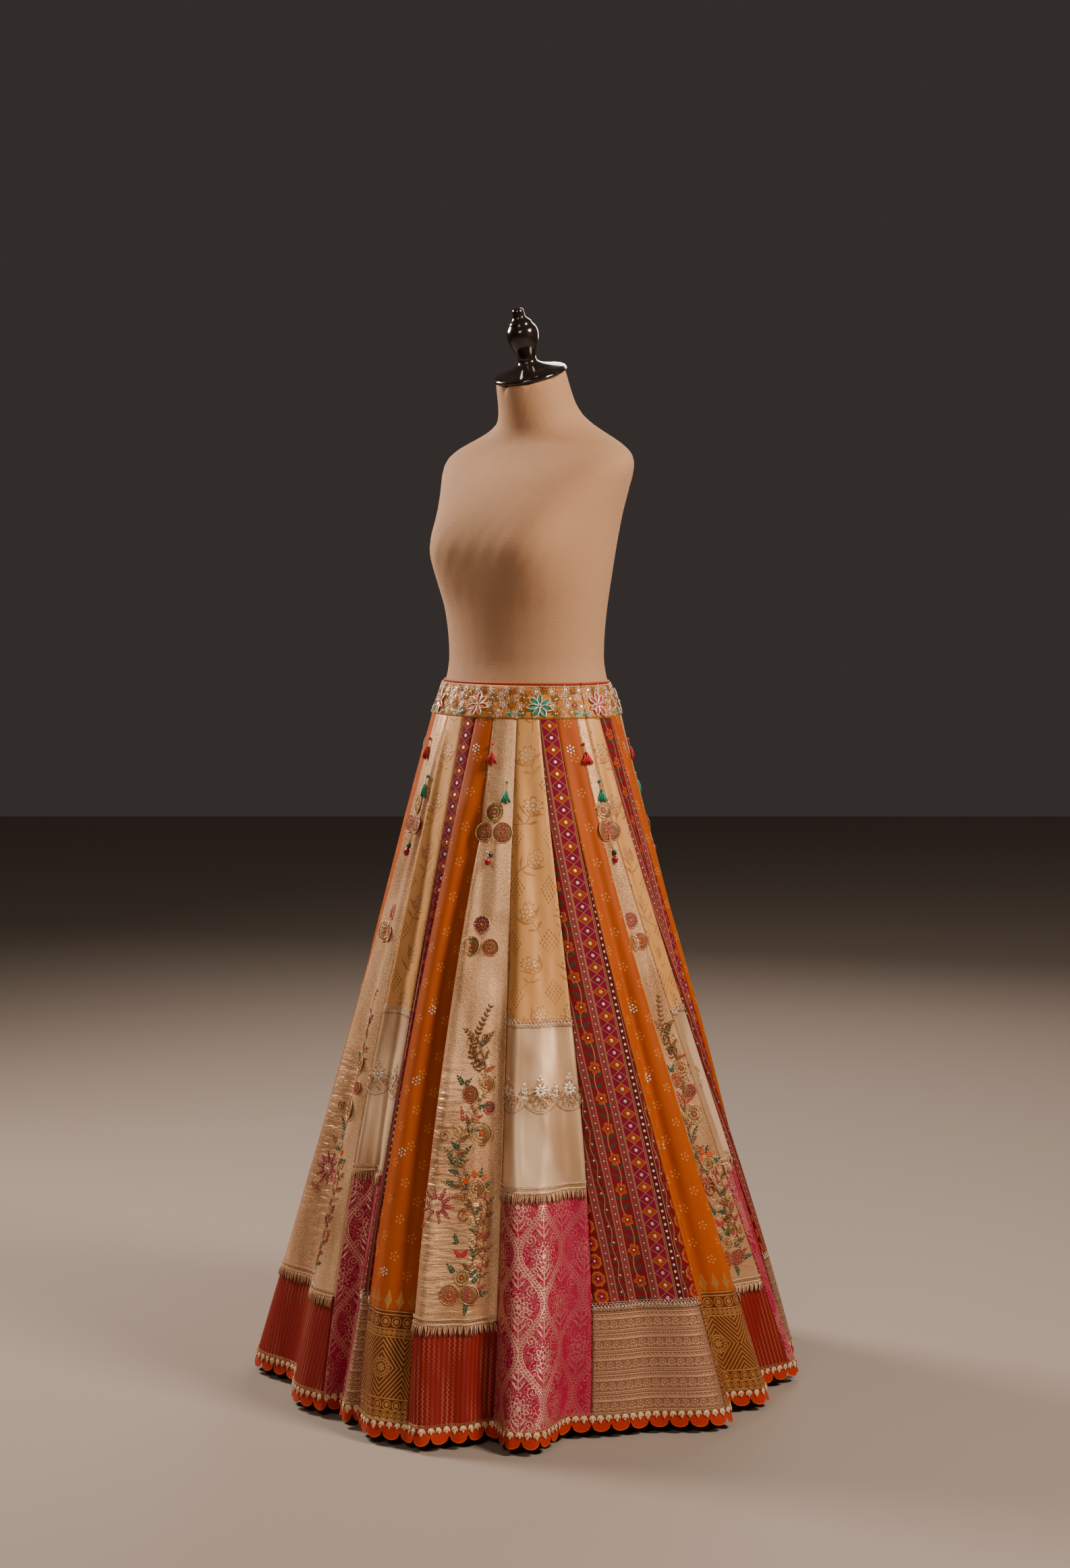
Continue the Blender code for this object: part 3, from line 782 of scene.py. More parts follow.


# %% [markdown]
# ## The tissues and the jacquard
#
# The satin tissue is woven with metal thread, so it is partly metallic, with a fine pebbled grain, and it
# puckers round its vine. Its colour carries painted shade: darker along its broad folds, in the hollows of
# its puckers, and towards the foot round the vine. The plain tissue is painted darker along its folds too.
# The jacquard's sprigs are woven in shinier thread, in a deeper outline.

# %% Satin tissue and silk jacquard
TISSUE = (1.0, 0.60, 0.34)
TISSUE_GRAIN_AND_PAINTED_SHADE = (0.46, 0.23, 0.105)
JACQUARD = (0.66, 0.315, 0.092)
SPRIG_OUTLINE = (0.34, 0.120, 0.030)
SPRIG_FILL = (0.80, 0.52, 0.26)
PLAIN_TISSUE = (1.0, 0.70, 0.46)
PLAIN_TISSUE_PAINTED_SHADE = (0.64, 0.38, 0.21)
SPRIG_PITCH_ACROSS = 0.050
SPRIG_PITCH_UP = 0.070


def satin_tissue():
    finish = Finish("satin_tissue", 0.40, 0.44, sheen_weight=0.05)
    x, y = finish.xy()
    grain = noise(finish.tree, 620.0, 2.0)
    broad = noise(finish.tree, 15.0, 2.0, stretch=(1, 1, 0.30))
    low_puckers = y.within(0.175, 0.34, 0.03) * x.rising(0.052, 0.030) * x.rising(-0.055, -0.035)
    puckered = (x.rising(0.018, -0.012) * y.within(0.24, 0.48, 0.04)).upper_of(low_puckers)
    pucker_waves = noise(finish.tree, 44.0, 2.0, stretch=(0.6, 0.6, 3.4))
    # Painted shade: the colour darkens with the broad fold noise that also raises the folds, and with the
    # real fine grain.
    tone = broad.rising(0.38, 0.66) * 0.5 + grain.rising(0.62, 0.40) * 0.5
    colour = finish.mix(tone, TISSUE, TISSUE_GRAIN_AND_PAINTED_SHADE)
    # Painted shade: the tissue is painted darker towards the foot round the vine. This stands for the shadow
    # of the next panel's raised edge, and partly for the brown of the dense work there.
    painted_shade_round_vine = y.rising(0.42, 0.24) * x.rising(-0.045, 0.005) * x.rising(0.058, 0.046)
    # Painted shade: the hollows of the puckers are painted darker.
    painted_pucker_shade = pucker_waves.rising(0.54, 0.42) * puckered
    colour = finish.mix(any_of(painted_shade_round_vine * 0.60, painted_pucker_shade * 0.55), colour, TISSUE_GRAIN_AND_PAINTED_SHADE)
    finish.set("Roughness", grain * 0.22 + 0.26)
    finish.raise_by(grain, 0.00050)
    finish.raise_by(broad, 0.0095)
    finish.raise_by(pucker_waves * puckered, 0.0040)
    return finish.done(colour, 0.08)


def plain_tissue():
    finish = Finish("plain_tissue", 0.34, 0.44, sheen_weight=0.05)
    _, _, weave = finish.woven(0.0013, 0.08)
    folds = noise(finish.tree, 15.0, 2.0, stretch=(1, 1, 0.35))
    # Painted shade: the colour darkens with the fold noise that also raises the folds.
    colour = finish.mix(folds.rising(0.4, 0.65), PLAIN_TISSUE, PLAIN_TISSUE_PAINTED_SHADE)
    finish.raise_by(weave["Height"], 0.00010)
    finish.raise_by(folds, 0.0085)
    return finish.done(colour, 0.08)


def silk_jacquard():
    finish = Finish("silk_jacquard", 0.40, 0.14, sheen_weight=0.1)
    x, y, weave = finish.woven(0.0012, 0.12)
    drift = (noise(finish.tree, 8.0, 1.0) - 0.5) * 0.030
    (u, v), (p, q) = staggered(x + drift, y + drift * 0.6, SPRIG_PITCH_ACROSS, SPRIG_PITCH_UP)
    lean = (noise(finish.tree, 9.0, 1.0) - 0.5) * 6
    u, v = u * lean.cos() - v * lean.sin(), u * lean.sin() + v * lean.cos()
    at_flower, at_leaves, at_low_leaves = v - 0.008, v + 0.009, v + 0.020
    heart = bloom(u, at_flower, 0.0098, 8, 0.55)
    veins = any_of(leaf_pair(u, at_leaves, 0.0078, 0.8), leaf_pair(u, at_low_leaves, 0.0056, 0.6))
    filled = any_of(heart, veins)
    whole = any_of(
        bloom(u, at_flower, 0.0124, 8, 0.5),
        leaf_pair(u, at_leaves, 0.0096, 0.8),
        leaf_pair(u, at_low_leaves, 0.0072, 0.6),
    )
    rim = whole - filled * 0.9
    marks = any_of(*[diamond(a, b, 0.0012, 0.0026, 0.2) for a, b in staggered(p, q, 0.0058, 0.0084)])
    bouquet = marks * diamond(p, q, 0.0150, 0.0210)
    stem = line(u, 0.0006) * v.within(-0.032, -0.002)
    outline = any_of(rim, hoop(u, at_flower, 0.0034, 0.0006), stem, bouquet)
    patchy = noise(finish.tree, 22.0, 1.0).rising(0.30, 0.55)
    colour = finish.mix(heart * 0.5, JACQUARD, SPRIG_FILL)
    colour = finish.mix(veins * (patchy * 0.40 + 0.20), colour, SPRIG_OUTLINE)
    colour = finish.mix(outline * (patchy * 0.4 + 0.5), colour, SPRIG_OUTLINE)
    finish.set("Metallic", 0.12 + filled * 0.30)
    finish.raise_by(weave["Height"], 0.00010)
    finish.raise_by(any_of(filled, bouquet), 0.00022)
    finish.raise_by(noise(finish.tree, 16.0, 2.0, stretch=(1, 1, 0.2)), 0.0080)
    return finish.done(colour, 0.10)


# %% [markdown]
# ## The embroidered stripes
#
# This cloth is a repeat of nine stripes that run down the panel, each with its own small figure. The table
# gives their widths. A loop lays them side by side, and each figure is drawn from its stripe's middle.

# %% Embroidered stripes
DARK_RED = (0.16, 0.003, 0.006)
WINE = (0.10, 0.002, 0.006)
ROSE = (0.22, 0.030, 0.036)
PINK_RED = (0.18, 0.004, 0.010)
MAGENTA = (0.22, 0.003, 0.034)
FLAME = (0.38, 0.045, 0.002)
LEAF_GREEN = (0.010, 0.070, 0.034)
CREAM = (0.38, 0.17, 0.075)
MIRROR = (0.92, 0.86, 0.80)

Stripe = namedtuple("Stripe", "figure width ground")
STRIPES = (
    Stripe("medallions", 0.023, DARK_RED),
    Stripe("dotted", 0.012, ROSE),
    Stripe("leaf_vine", 0.014, PINK_RED),
    Stripe("dotted", 0.011, ROSE),
    Stripe("flower_vine", 0.022, PINK_RED),
    Stripe("dotted", 0.010, ROSE),
    Stripe("diamonds", 0.024, MAGENTA),
    Stripe("sequin_line", 0.012, WINE),
    Stripe("leaf_vine", 0.007, PINK_RED),
)
STRIPE_REPEAT = sum(stripe.width for stripe in STRIPES)
FLOWER_VINE_STEP = 0.041
LEAF_VINE_STEP = 0.0110
DIAMOND_STEP = 0.0165


def stripe_figure(figure, finish, u, y, ground):
    """The colour of one stripe, from its middle line, and the mask of its shiny work."""
    if figure == "medallions":
        v = y.centred(0.0235)
        colour = finish.mix(bloom(u, v, 0.0108, 8, 0.22), ground, FLAME)
        colour = finish.mix(hoop(u, v, 0.0086, 0.0004), colour, CREAM)
        colour = finish.mix(bloom(u, v, 0.0060, 5, 0.5), colour, MAGENTA)
        shine = disc(u, v, 0.0012)
    elif figure == "dotted":
        grid = disc(u.centred(0.0034), y.centred(0.0034), 0.0008)
        colour = finish.mix(grid * 0.3, ground, CREAM)
        colour = finish.mix(line(u.abs() - 0.0046, 0.0004), colour, CREAM)
        shine = disc(u, y.centred(0.0102), 0.0011) * 0.5
    elif figure == "leaf_vine":
        sway = (y * math.tau / (4 * LEAF_VINE_STEP)).sin() * 0.0020
        leaves = leaf_pair(u - sway, y.centred(LEAF_VINE_STEP), 0.0046, 0.8)
        colour = finish.mix(leaves, ground, LEAF_GREEN)
        colour = finish.mix(line(u - sway, 0.0004), colour, CREAM)
        shine = disc(u + sway, (y + LEAF_VINE_STEP / 2).centred(2 * LEAF_VINE_STEP), 0.0011)
    elif figure == "flower_vine":
        v = y.centred(FLOWER_VINE_STEP)
        sway = (y * math.tau / (2 * FLOWER_VINE_STEP)).sin() * 0.0042
        colour = finish.mix(line(u - sway, 0.0006), ground, CREAM)
        for offset in (0.0140, 0.0270):
            leaves = leaf_pair(u - sway, (y + offset).centred(FLOWER_VINE_STEP), 0.0064, 0.6)
            colour = finish.mix(leaves, colour, LEAF_GREEN)
        colour = finish.mix(bloom(u, v, 0.0086, 5, 0.38), colour, CREAM)
        colour = finish.mix(bloom(u, v, 0.0078, 5, 0.38), colour, FLAME)
        colour = finish.mix(bloom(u, v, 0.0038, 5, 0.5), colour, DARK_RED)
        shine = disc(u, v, 0.0014)
    elif figure == "diamonds":
        v = y.centred(DIAMOND_STEP)
        every_second = y.centred(2 * DIAMOND_STEP).abs().rising(0.0085, 0.0081)
        tone = finish.mix(every_second, MAGENTA, FLAME)
        colour = finish.mix(diamond(u, v, 0.0098, 0.0076), ground, tone)
        colour = finish.mix(line(u.abs() * 0.76 + v.abs() - 0.0080, 0.0004), colour, CREAM)
        colour = finish.mix(line(u.abs() - 0.0114, 0.0005), colour, CREAM)
        shine = disc(u, v, 0.0021)
    else:
        colour = finish.mix(line(u.abs() - 0.0046, 0.0004), ground, CREAM)
        shine = disc(u, y.centred(0.0090), 0.0016) * 0.8
    return finish.mix(shine, colour, MIRROR), shine


def embroidered_stripes():
    finish = Finish("embroidered_stripes", 0.70, 0.0, specular_ior_level=0.15)
    x, y, weave = finish.woven(0.0014, 0.20)
    across = x.wrap(STRIPE_REPEAT)
    colour, shine, start = DARK_RED, None, 0.0
    for stripe in STRIPES:
        inside = across.within(start, start + stripe.width)
        middle = across - (start + stripe.width / 2)
        tone, glints = stripe_figure(stripe.figure, finish, middle, y, stripe.ground)
        colour = finish.mix(inside, colour, tone)
        glints = glints * inside
        shine = glints if shine is None else shine.upper_of(glints)
        start += stripe.width
    colour = finish.tint(colour, weave["Shade"])
    finish.set("Metallic", shine * 0.8)
    finish.set("Roughness", 0.72 - shine * 0.5)
    finish.raise_by(weave["Height"], 0.00020)
    finish.raise_by(shine, 0.00040)
    finish.raise_by(noise(finish.tree, 420.0, 2.0), 0.0005)
    return finish.done(colour, 0.14)


# %% [markdown]
# ## The foot pieces
#
# The coral brocade is ruled with silver zigzags between dotted columns, and its silver is painted brighter
# in long patches, a painted highlight. The magenta brocade carries a gold trellis of ogees, each with a
# palmette and scrolls. Its gold is painted brighter in patches and towards the panel's left side, a painted
# highlight. The gold border is woven in bands: rows of small bushes between dotted and zigzag lines.

# %% Coral, magenta and gold brocades
CORAL = (0.25, 0.007, 0.004)
CORAL_LINE = (0.11, 0.003, 0.003)
MAGENTA_GROUND = (0.38, 0.001, 0.046)
SILVER = (0.50, 0.26, 0.14)
PINK_GOLD = (1.0, 0.60, 0.44)
ZARI_GROUND = (0.24, 0.095, 0.048)
ZARI_GOLD = (0.62, 0.33, 0.185)
CORAL_PITCH = 0.0070
CORAL_ZIGZAG = 0.0062
CORAL_DOT_STEP = 0.0040
OGEE_WIDTH = 0.072
OGEE_HEIGHT = 0.128
OGEE_LEAF_LEVELS = (-0.036, -0.027, 0.020, 0.030, 0.040)
PALMETTE_DROP = 0.004
ZARI_BAND_STEP = 0.027
ZARI_BUSH_PITCH = 0.0125
ZARI_BUSH_RISE = 0.0122
ZARI_RAILS = (0.0042, 0.0193, 0.0206, 0.0258)


def coral_brocade():
    finish = Finish("coral_brocade", 0.52, 0.0, specular_ior_level=0.20)
    x, y, weave = finish.woven(0.0012, 0.14)
    zigzag = y.centred(CORAL_ZIGZAG).abs() * 0.7 - 0.0011
    column = line(x.centred(CORAL_PITCH) - zigzag, 0.0006)
    tonal = disc((x + CORAL_PITCH / 2).centred(CORAL_PITCH), y.centred(CORAL_DOT_STEP), 0.0012)
    lit = noise(finish.tree, 34.0, 1.0, stretch=(1, 1, 0.1)).rising(0.42, 0.62)
    # Painted highlight: the real silver thread is painted brighter in long patches where the noise is lit.
    silver = column * (lit * 0.52 + 0.05)
    colour = finish.mix(tonal * 0.7, CORAL, CORAL_LINE)
    colour = finish.mix(silver, colour, SILVER)
    finish.set("Metallic", silver * 0.7)
    finish.set("Roughness", 0.55 - silver * 0.22)
    finish.raise_by(weave["Height"], 0.00015)
    finish.raise_by(column, 0.00028)
    return finish.done(finish.tint(colour, weave["Shade"]), 0.12)


def ogee_figure(u, v):
    """One cell of the trellis: its beaded frame, a palmette over a spray of leaves, and two scrolls."""
    frame_line = u.abs() - ((v * math.tau / OGEE_HEIGHT).cos() + 1) * OGEE_WIDTH / 4
    beads = disc(frame_line + 0.0030, v.centred(0.0036), 0.0010)
    side = u.abs() - 0.0190
    up = v + PALMETTE_DROP
    palmette = any_of(
        bloom(u, up, 0.0150, 9, 0.35) - bloom(u, up, 0.0132, 9, 0.4),
        bloom(u, up, 0.0100, 7, 0.35) - bloom(u, up, 0.0078, 7, 0.4),
        bloom(u, up, 0.0044, 5),
        dot_ring(u, up, 0.0175, 0.0009, 22),
    )
    leaves = any_of(*[leaf_pair(u, v - level, 0.0058, 1.1) for level in OGEE_LEAF_LEVELS])
    scrolls = any_of(scroll(side, v - 0.017, 0.0078), scroll(side + 0.004, v + 0.024, 0.0062, 0.0040))
    stem = line(u, 0.0005) * v.abs().within(0.018, 0.052)
    inside = frame_line.rising(-0.0042, -0.0050)
    edges = any_of(line(frame_line, 0.0009), line(frame_line + 0.0052, 0.0004), beads)
    return any_of(edges, any_of(palmette, leaves, scrolls, stem) * inside)


def magenta_brocade():
    finish = Finish("magenta_brocade", 0.36, 0.0, specular_ior_level=0.28)
    x, y, weave = finish.woven(0.0012, 0.12)
    gold = any_of(*[ogee_figure(u, v) for u, v in staggered(x, y, OGEE_WIDTH, OGEE_HEIGHT)])
    tendrils = line((noise(finish.tree, 70.0, 1.0) * 0.05).centred(0.0046), 0.00035)
    gold = any_of(gold, tendrils * 0.55)
    # Painted highlight: the gold is painted brighter in patches and towards the panel's left side.
    lit = noise(finish.tree, 9.0, 1.0, stretch=(1, 1, 0.3)).rising(0.34, 0.54) * x.rising(0.050, -0.010)
    colour = finish.mix(gold * (lit * 0.75 + 0.16), MAGENTA_GROUND, PINK_GOLD)
    finish.set("Metallic", gold * (lit * 0.6 + 0.2))
    finish.set("Roughness", 0.42 - gold * 0.12)
    finish.raise_by(weave["Height"], 0.00014)
    finish.raise_by(gold, 0.00022)
    return finish.done(finish.tint(colour, weave["Shade"]), 0.10)


def zari_weave():
    finish = Finish("zari_weave", 0.45, 0.2, sheen_weight=0.05)
    x, y, weave = finish.woven(0.0012, 0.14)
    v = (y - CLOTH_HEM).wrap(ZARI_BAND_STEP)
    u, up = x.centred(ZARI_BUSH_PITCH), v - ZARI_BUSH_RISE
    bush = any_of(
        bloom(u, up, 0.0052, 7) - bloom(u, up, 0.0036, 7),
        disc(u, up, 0.0014),
        leaf_pair(u, v - 0.0062, 0.0040, 0.6),
    )
    zigzag = line(v - 0.0215 - x.centred(0.0060).abs() * 0.8, 0.0006)
    dots = disc(x.centred(0.0034), v - 0.0020, 0.0010)
    rails = any_of(*[line(v - height, 0.0006) for height in ZARI_RAILS])
    gold = any_of(bush * v.within(0.005, 0.019), zigzag, dots, rails)
    colour = finish.mix(gold * 0.9, ZARI_GROUND, ZARI_GOLD)
    finish.set("Metallic", gold * 0.55 + 0.10)
    finish.set("Roughness", 0.52 - gold * 0.16)
    finish.raise_by(weave["Height"], 0.00015)
    finish.raise_by(gold, 0.00030)
    return finish.done(finish.tint(colour, weave["Shade"]), 0.12)


cloths = {
    "orange_organza": orange_organza(),
    "satin_tissue": satin_tissue(),
    "plain_tissue": plain_tissue(),
    "silk_jacquard": silk_jacquard(),
    "embroidered_strip": embroidered_stripes(),
    "coral_brocade": coral_brocade(),
    "magenta_brocade": magenta_brocade(),
    "zari_weave": zari_weave(),
}
print("cloths:", *cloths)

# %% [markdown]
# ## Sheets from grids of points
#
# A sheet is a grid of points on the creased cloth, with a Solidify modifier for its thickness. Near each
# side seam the cloth dips, as the stitching draws it in. The UV map holds the panel's own coordinates.

# %% Building a sheet
SHEET_THICKNESS = 0.0012
SEAM_DIP = 0.0012
SEAM_REACH = 0.0020
SHEET_ROW = 0.0085
SHEET_COLUMNS = 20
SHEET_EDGE_SHARES = (0, 0.025, 0.06)
EDGE_ROW = 0.0007
StripeLay = namedtuple("StripeLay", "start grain")
STRIPE_LAYS = (
    StripeLay(0.106, 0.60),
    StripeLay(0.109, 0.74),
    StripeLay(0.072, 0.45),
    StripeLay(0.020, 0.50),
    StripeLay(0.088, 0.40),
    StripeLay(0.050, 0.60),
)


def number_grid(rows, columns, round_rows=False, round_columns=False):
    """The numbers of a grid's points. A grid that closes repeats its first column or row at the end."""
    number = np.arange(rows * columns).reshape(rows, columns)
    if round_columns:
        number = np.hstack([number, number[:, :1]])
    if round_rows:
        number = np.vstack([number, number[:1]])
    return number


def quads(number):
    """The four corners of each cell of a grid of point numbers."""
    corners = np.stack([number[:-1, :-1], number[:-1, 1:], number[1:, 1:], number[1:, :-1]], axis=-1)
    return corners.reshape(-1, 4)


def smooth_mesh(name, points, faces):
    mesh = bpy.data.meshes.new(name)
    mesh.from_pydata(np.reshape(points, (-1, 3)).tolist(), [], faces)
    mesh.shade_smooth()
    return mesh


def grid_object(name, points, uv, material, thickness=SHEET_THICKNESS, closed=False):
    faces = quads(number_grid(*points.shape[:2], round_columns=closed))[:, [0, 3, 2, 1]]
    mesh = smooth_mesh(name, points, faces.tolist())
    corner_points = np.empty(len(mesh.loops), int)
    mesh.loops.foreach_get("vertex_index", corner_points)
    layer = mesh.uv_layers.new(name="cloth")
    layer.data.foreach_set("uv", uv.reshape(-1, 2)[corner_points].ravel())
    mesh.materials.append(material)
    made = link(bpy.data.objects.new(name, mesh))
    wall = made.modifiers.new("thickness", "SOLIDIFY")
    wall.thickness = thickness
    wall.offset = -1
    return made


def lengths_along(points):
    """The distance travelled along each row of points."""
    steps = np.linalg.norm(np.diff(points, axis=-2), axis=-1)
    return np.concatenate([np.zeros((*steps.shape[:-1], 1)), np.cumsum(steps, axis=-1)], axis=-1)


def panel_grid(panel, top, foot):
    """The points of a panel between two heights, and its own coordinates across and up."""
    edge = np.array(SHEET_EDGE_SHARES)
    middle = np.linspace(edge[-1], 1 - edge[-1], SHEET_COLUMNS)
    shares = np.concatenate([edge[:-1], middle, 1 - edge[-2::-1]])
    inside = np.linspace(top - EDGE_ROW, foot + EDGE_ROW, max(3, round((top - foot) / SHEET_ROW)))
    heights = np.concatenate([[top], inside, [foot]])[:, None]
    points, across, square = cloth_points(panel + shares, heights)
    travelled = lengths_along(points)
    width = travelled[:, -1:]
    from_seam = np.minimum(travelled, width - travelled)
    points -= square * (SEAM_DIP * np.exp(-((from_seam / SEAM_REACH) ** 2)))[..., None]
    points[:, 0] += across[:, 0] * SEAM_GAP / 2
    points[:, -1] -= across[:, -1] * SEAM_GAP / 2
    uv = np.stack([travelled - width / 2, np.broadcast_to(heights, width.shape) + 0 * travelled], axis=-1)
    return points, uv


def flat_size(points):
    """The width, length and area of the cloth that a grid of points is cut from."""
    width = float(lengths_along(points)[:, -1].max())
    length = float(lengths_along(points.transpose(1, 0, 2))[:, -1].max())
    first, second = points[1:, 1:] - points[:-1, :-1], points[1:, :-1] - points[:-1, 1:]
    area = float(np.linalg.norm(np.cross(first, second), axis=-1).sum() / 2)
    return width, length, area


def declare_sheet(piece, points, held, rests_on, slot, *nodes):
    """Attaches the piece, hides its solids and gives its cut's size; held, rests_on and slot are unused."""
    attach(piece, "root")
    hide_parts(*nodes)
    width, length, area = flat_size(points)
    return width, length


# %% [markdown]
# ## The panels
#
# Four kinds of panel make one repeat. The table gives the pieces that each is joined from, top to foot.

# %% The panels and what is sewn to their feet
Cut = namedtuple("Cut", "name node foot cloth slot")
CUTS = {
    "orange": (Cut("orange_sheet", "orange_panel", CLOTH_HEM, "orange_organza", "orange_organza"),),
    "tissue": (
        Cut("satin_sheet", "tissue_panel", LOW_FRINGE_SEAM, "satin_tissue", "satin_tissue"),
        Cut("coral_sheet", "coral_patch", CLOTH_HEM, "coral_brocade", "coral_brocade"),
    ),
    "brocade": (
        Cut("jacquard_sheet", "brocade_panel", LACE_SEAM, "silk_jacquard", "silk_jacquard"),
        Cut("plain_sheet", "brocade_panel", HIGH_FRINGE_SEAM, "plain_tissue", "silk_jacquard"),
        Cut("magenta_sheet", "magenta_patch", CLOTH_HEM, "magenta_brocade", "magenta_brocade"),
    ),
    "strip": (
        Cut("striped_sheet", "strip_panel", ZARI_SEAM, "embroidered_strip", "embroidered_strip"),
        Cut("zari_sheet", "zari_border", CLOTH_HEM, "zari_weave", "zari_weave"),
    ),
}

for panel in range(PANELS):
    repeat, kind = divmod(panel, len(KINDS))
    top, above = BAND_BOTTOM - SEAM_GAP, "waistband"
    for cut in CUTS[KINDS[kind]]:
        points, uv = panel_grid(panel, top, cut.foot)
        if cut.name == "striped_sheet":
            lay = STRIPE_LAYS[repeat]
            uv[..., 0] += lay.start + uv[:, -1:, 0] * (1 - 2 * lay.grain)
        name = f"{cut.name}_{repeat + 1}"
        sheet = grid_object(name, points, uv, cloths[cut.cloth])
        flat = declare_sheet(sheet, points, "hung", above, cut.slot, f"{cut.node}_{repeat + 1}")
        top, above = cut.foot - SEAM_GAP, name
        if repeat == 1:
            print(name, "cut", [round(size, 3) for size in flat])

# %% [markdown]
# ## The waistband
#
# The band lies on the form as an oval strip that narrows upwards, and meets itself at the placket on the
# form's left. A cord edges its top.

# %% Waistband and piping
PLACKET_ANGLE = 70.5
PLACKET_HALF_GAP = 0.35
BAND_THICKNESS = 0.0020
BAND_OUT = 0.0029
BAND_ROWS = 12
BAND_COLUMNS = 240
BAND_RIPPLE = 0.0004
PIPING_RADIUS = 0.0017
PIPING_OUT = -0.0014
PIPING_POINTS = 180
BAND_FOOT = Ellipse(0.1432 + BAND_OUT, 0.1155 + BAND_OUT)
BAND_MIDDLE = Ellipse(0.1355 + BAND_OUT, 0.1070 + BAND_OUT)
BAND_HEAD = Ellipse(0.1272 + BAND_OUT, 0.0980 + BAND_OUT)


def band_points(degrees, height, out=0.0):
    """Points of the band's outer face at angles in degrees and heights, moved out."""
    degrees, height = np.broadcast_arrays(np.asarray(degrees, float), np.asarray(height, float))
    rise = (height - BAND_BOTTOM) / (BAND_TOP - BAND_BOTTOM)
    angle = np.radians(degrees)
    ripple = BAND_RIPPLE * np.sin(5 * angle + 7 * rise) + out
    half_width = curve_through(BAND_FOOT.half_width, BAND_MIDDLE.half_width, BAND_HEAD.half_width, rise)
    half_depth = curve_through(BAND_FOOT.half_depth, BAND_MIDDLE.half_depth, BAND_HEAD.half_depth, rise)
    return np.stack(
        [(half_width + ripple) * np.sin(angle), -(half_depth + ripple) * np.cos(angle), height], axis=-1
    )


BAND_START = PLACKET_ANGLE + PLACKET_HALF_GAP
BAND_END = PLACKET_ANGLE + 360 - PLACKET_HALF_GAP
band_angles = np.linspace(BAND_START, BAND_END, BAND_COLUMNS)[None, :]
band_heights = np.linspace(BAND_TOP, BAND_BOTTOM, BAND_ROWS)[:, None]
band_grid = band_points(band_angles, band_heights)
band_uv = np.stack([lengths_along(band_grid), band_heights + 0 * band_angles], axis=-1)
BAND_LENGTH = float(lengths_along(band_grid)[BAND_ROWS // 2, -1])


def band_silk():
    finish = Finish("band_silk", 0.55, 0.05, sheen_weight=0.05)
    _, _, weave = finish.woven(0.0013, 0.2)
    colour = finish.mix(weave["Height"] * 0.5, (0.66, 0.225, 0.010), (0.54, 0.25, 0.035))
    finish.raise_by(weave["Height"], 0.0002)
    return finish.done(colour, 0.12)


def cord_silk():
    finish = Finish("cord_silk", 0.6, 0.0, sheen_weight=0.05)
    fibre = noise(finish.tree, 900.0, 2.0, stretch=(1, 1, 0.4))
    colour = finish.mix(fibre, (0.30, 0.010, 0.002), (0.46, 0.030, 0.003))
    finish.raise_by(fibre, 0.0003)
    return finish.done(colour, 0.1)


cord_finish = cord_silk()
waistband = grid_object("waistband_cloth", band_grid, band_uv, band_silk(), BAND_THICKNESS)
declare_sheet(waistband, band_grid, "stretched", "dress_form", "embroidered_band", "waistband")


def tube_points(path, radius, sides, closed=False):
    """A tube round a path, as rows of points along it. The radius may change along the path."""
    path = np.asarray(path, float)
    ahead = np.roll(path, -1, axis=0) - np.roll(path, 1, axis=0)
    if not closed:
        ahead[0], ahead[-1] = path[1] - path[0], path[-1] - path[-2]
    ahead = unit(ahead)
    guide = np.where(np.abs(ahead[:, 2:3]) > 0.9, np.array([1.0, 0, 0]), np.array([0, 0, 1.0]))
    first = unit(np.cross(ahead, guide))
    second = np.cross(ahead, first)
    turns = np.linspace(0, math.tau, sides, endpoint=False)[None, :, None]
    ring = first[:, None] * np.cos(turns) + second[:, None] * np.sin(turns)
    return path[:, None] + ring * np.broadcast_to(np.asarray(radius, float), len(path))[:, None, None]


def tube_mesh(name, path, radius, sides, closed=False):
    points = tube_points(path, radius, sides, closed)
    rows = len(points)
    faces = quads(number_grid(rows, sides, round_rows=closed, round_columns=True)).tolist()
    if not closed:
        faces += [list(range(sides))[::-1], [(rows - 1) * sides + n for n in range(sides)]]
    return smooth_mesh(name, points, faces)


PIPING_HEIGHT = BAND_TOP + SEAM_GAP + PIPING_RADIUS
piping_path = band_points(np.linspace(BAND_START, BAND_END, PIPING_POINTS), PIPING_HEIGHT, PIPING_OUT)
piping_mesh = tube_mesh("piping_cord", piping_path, PIPING_RADIUS, 8)
piping_mesh.materials.append(cord_finish)
piping = link(bpy.data.objects.new("piping_cord", piping_mesh))
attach(piping, "root")
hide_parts("band_piping")
print("band", round(BAND_LENGTH, 3), "m long")

# %% [markdown]
# ## The scalloped hem
#
# A trim of round lobes runs all round the hem, level with the cloth's edge. Its lobes are spaced along the
# hem's own length, so that they follow the folds.

# %% Scallops
SCALLOP_PITCH = 0.027
SCALLOP_STEPS = 9
TRIM_THICKNESS = 0.0013
TRIM_OUT = -0.0003
LOBE_LEVELS = (0, 0.04, 0.35, 0.7, 0.92, 0.965, 1)
fine_places = np.linspace(0, PANELS, PANELS * 160 + 1)
fine_lengths = lengths_along(cloth_points(fine_places, CLOTH_HEM)[0][None])[0]
LOBES = round(fine_lengths[-1] / SCALLOP_PITCH)


def hem_places(count):
    """Places spaced evenly along the hem's own length."""
    targets = np.arange(count) / count * fine_lengths[-1]
    return np.interp(targets, fine_lengths, fine_places)


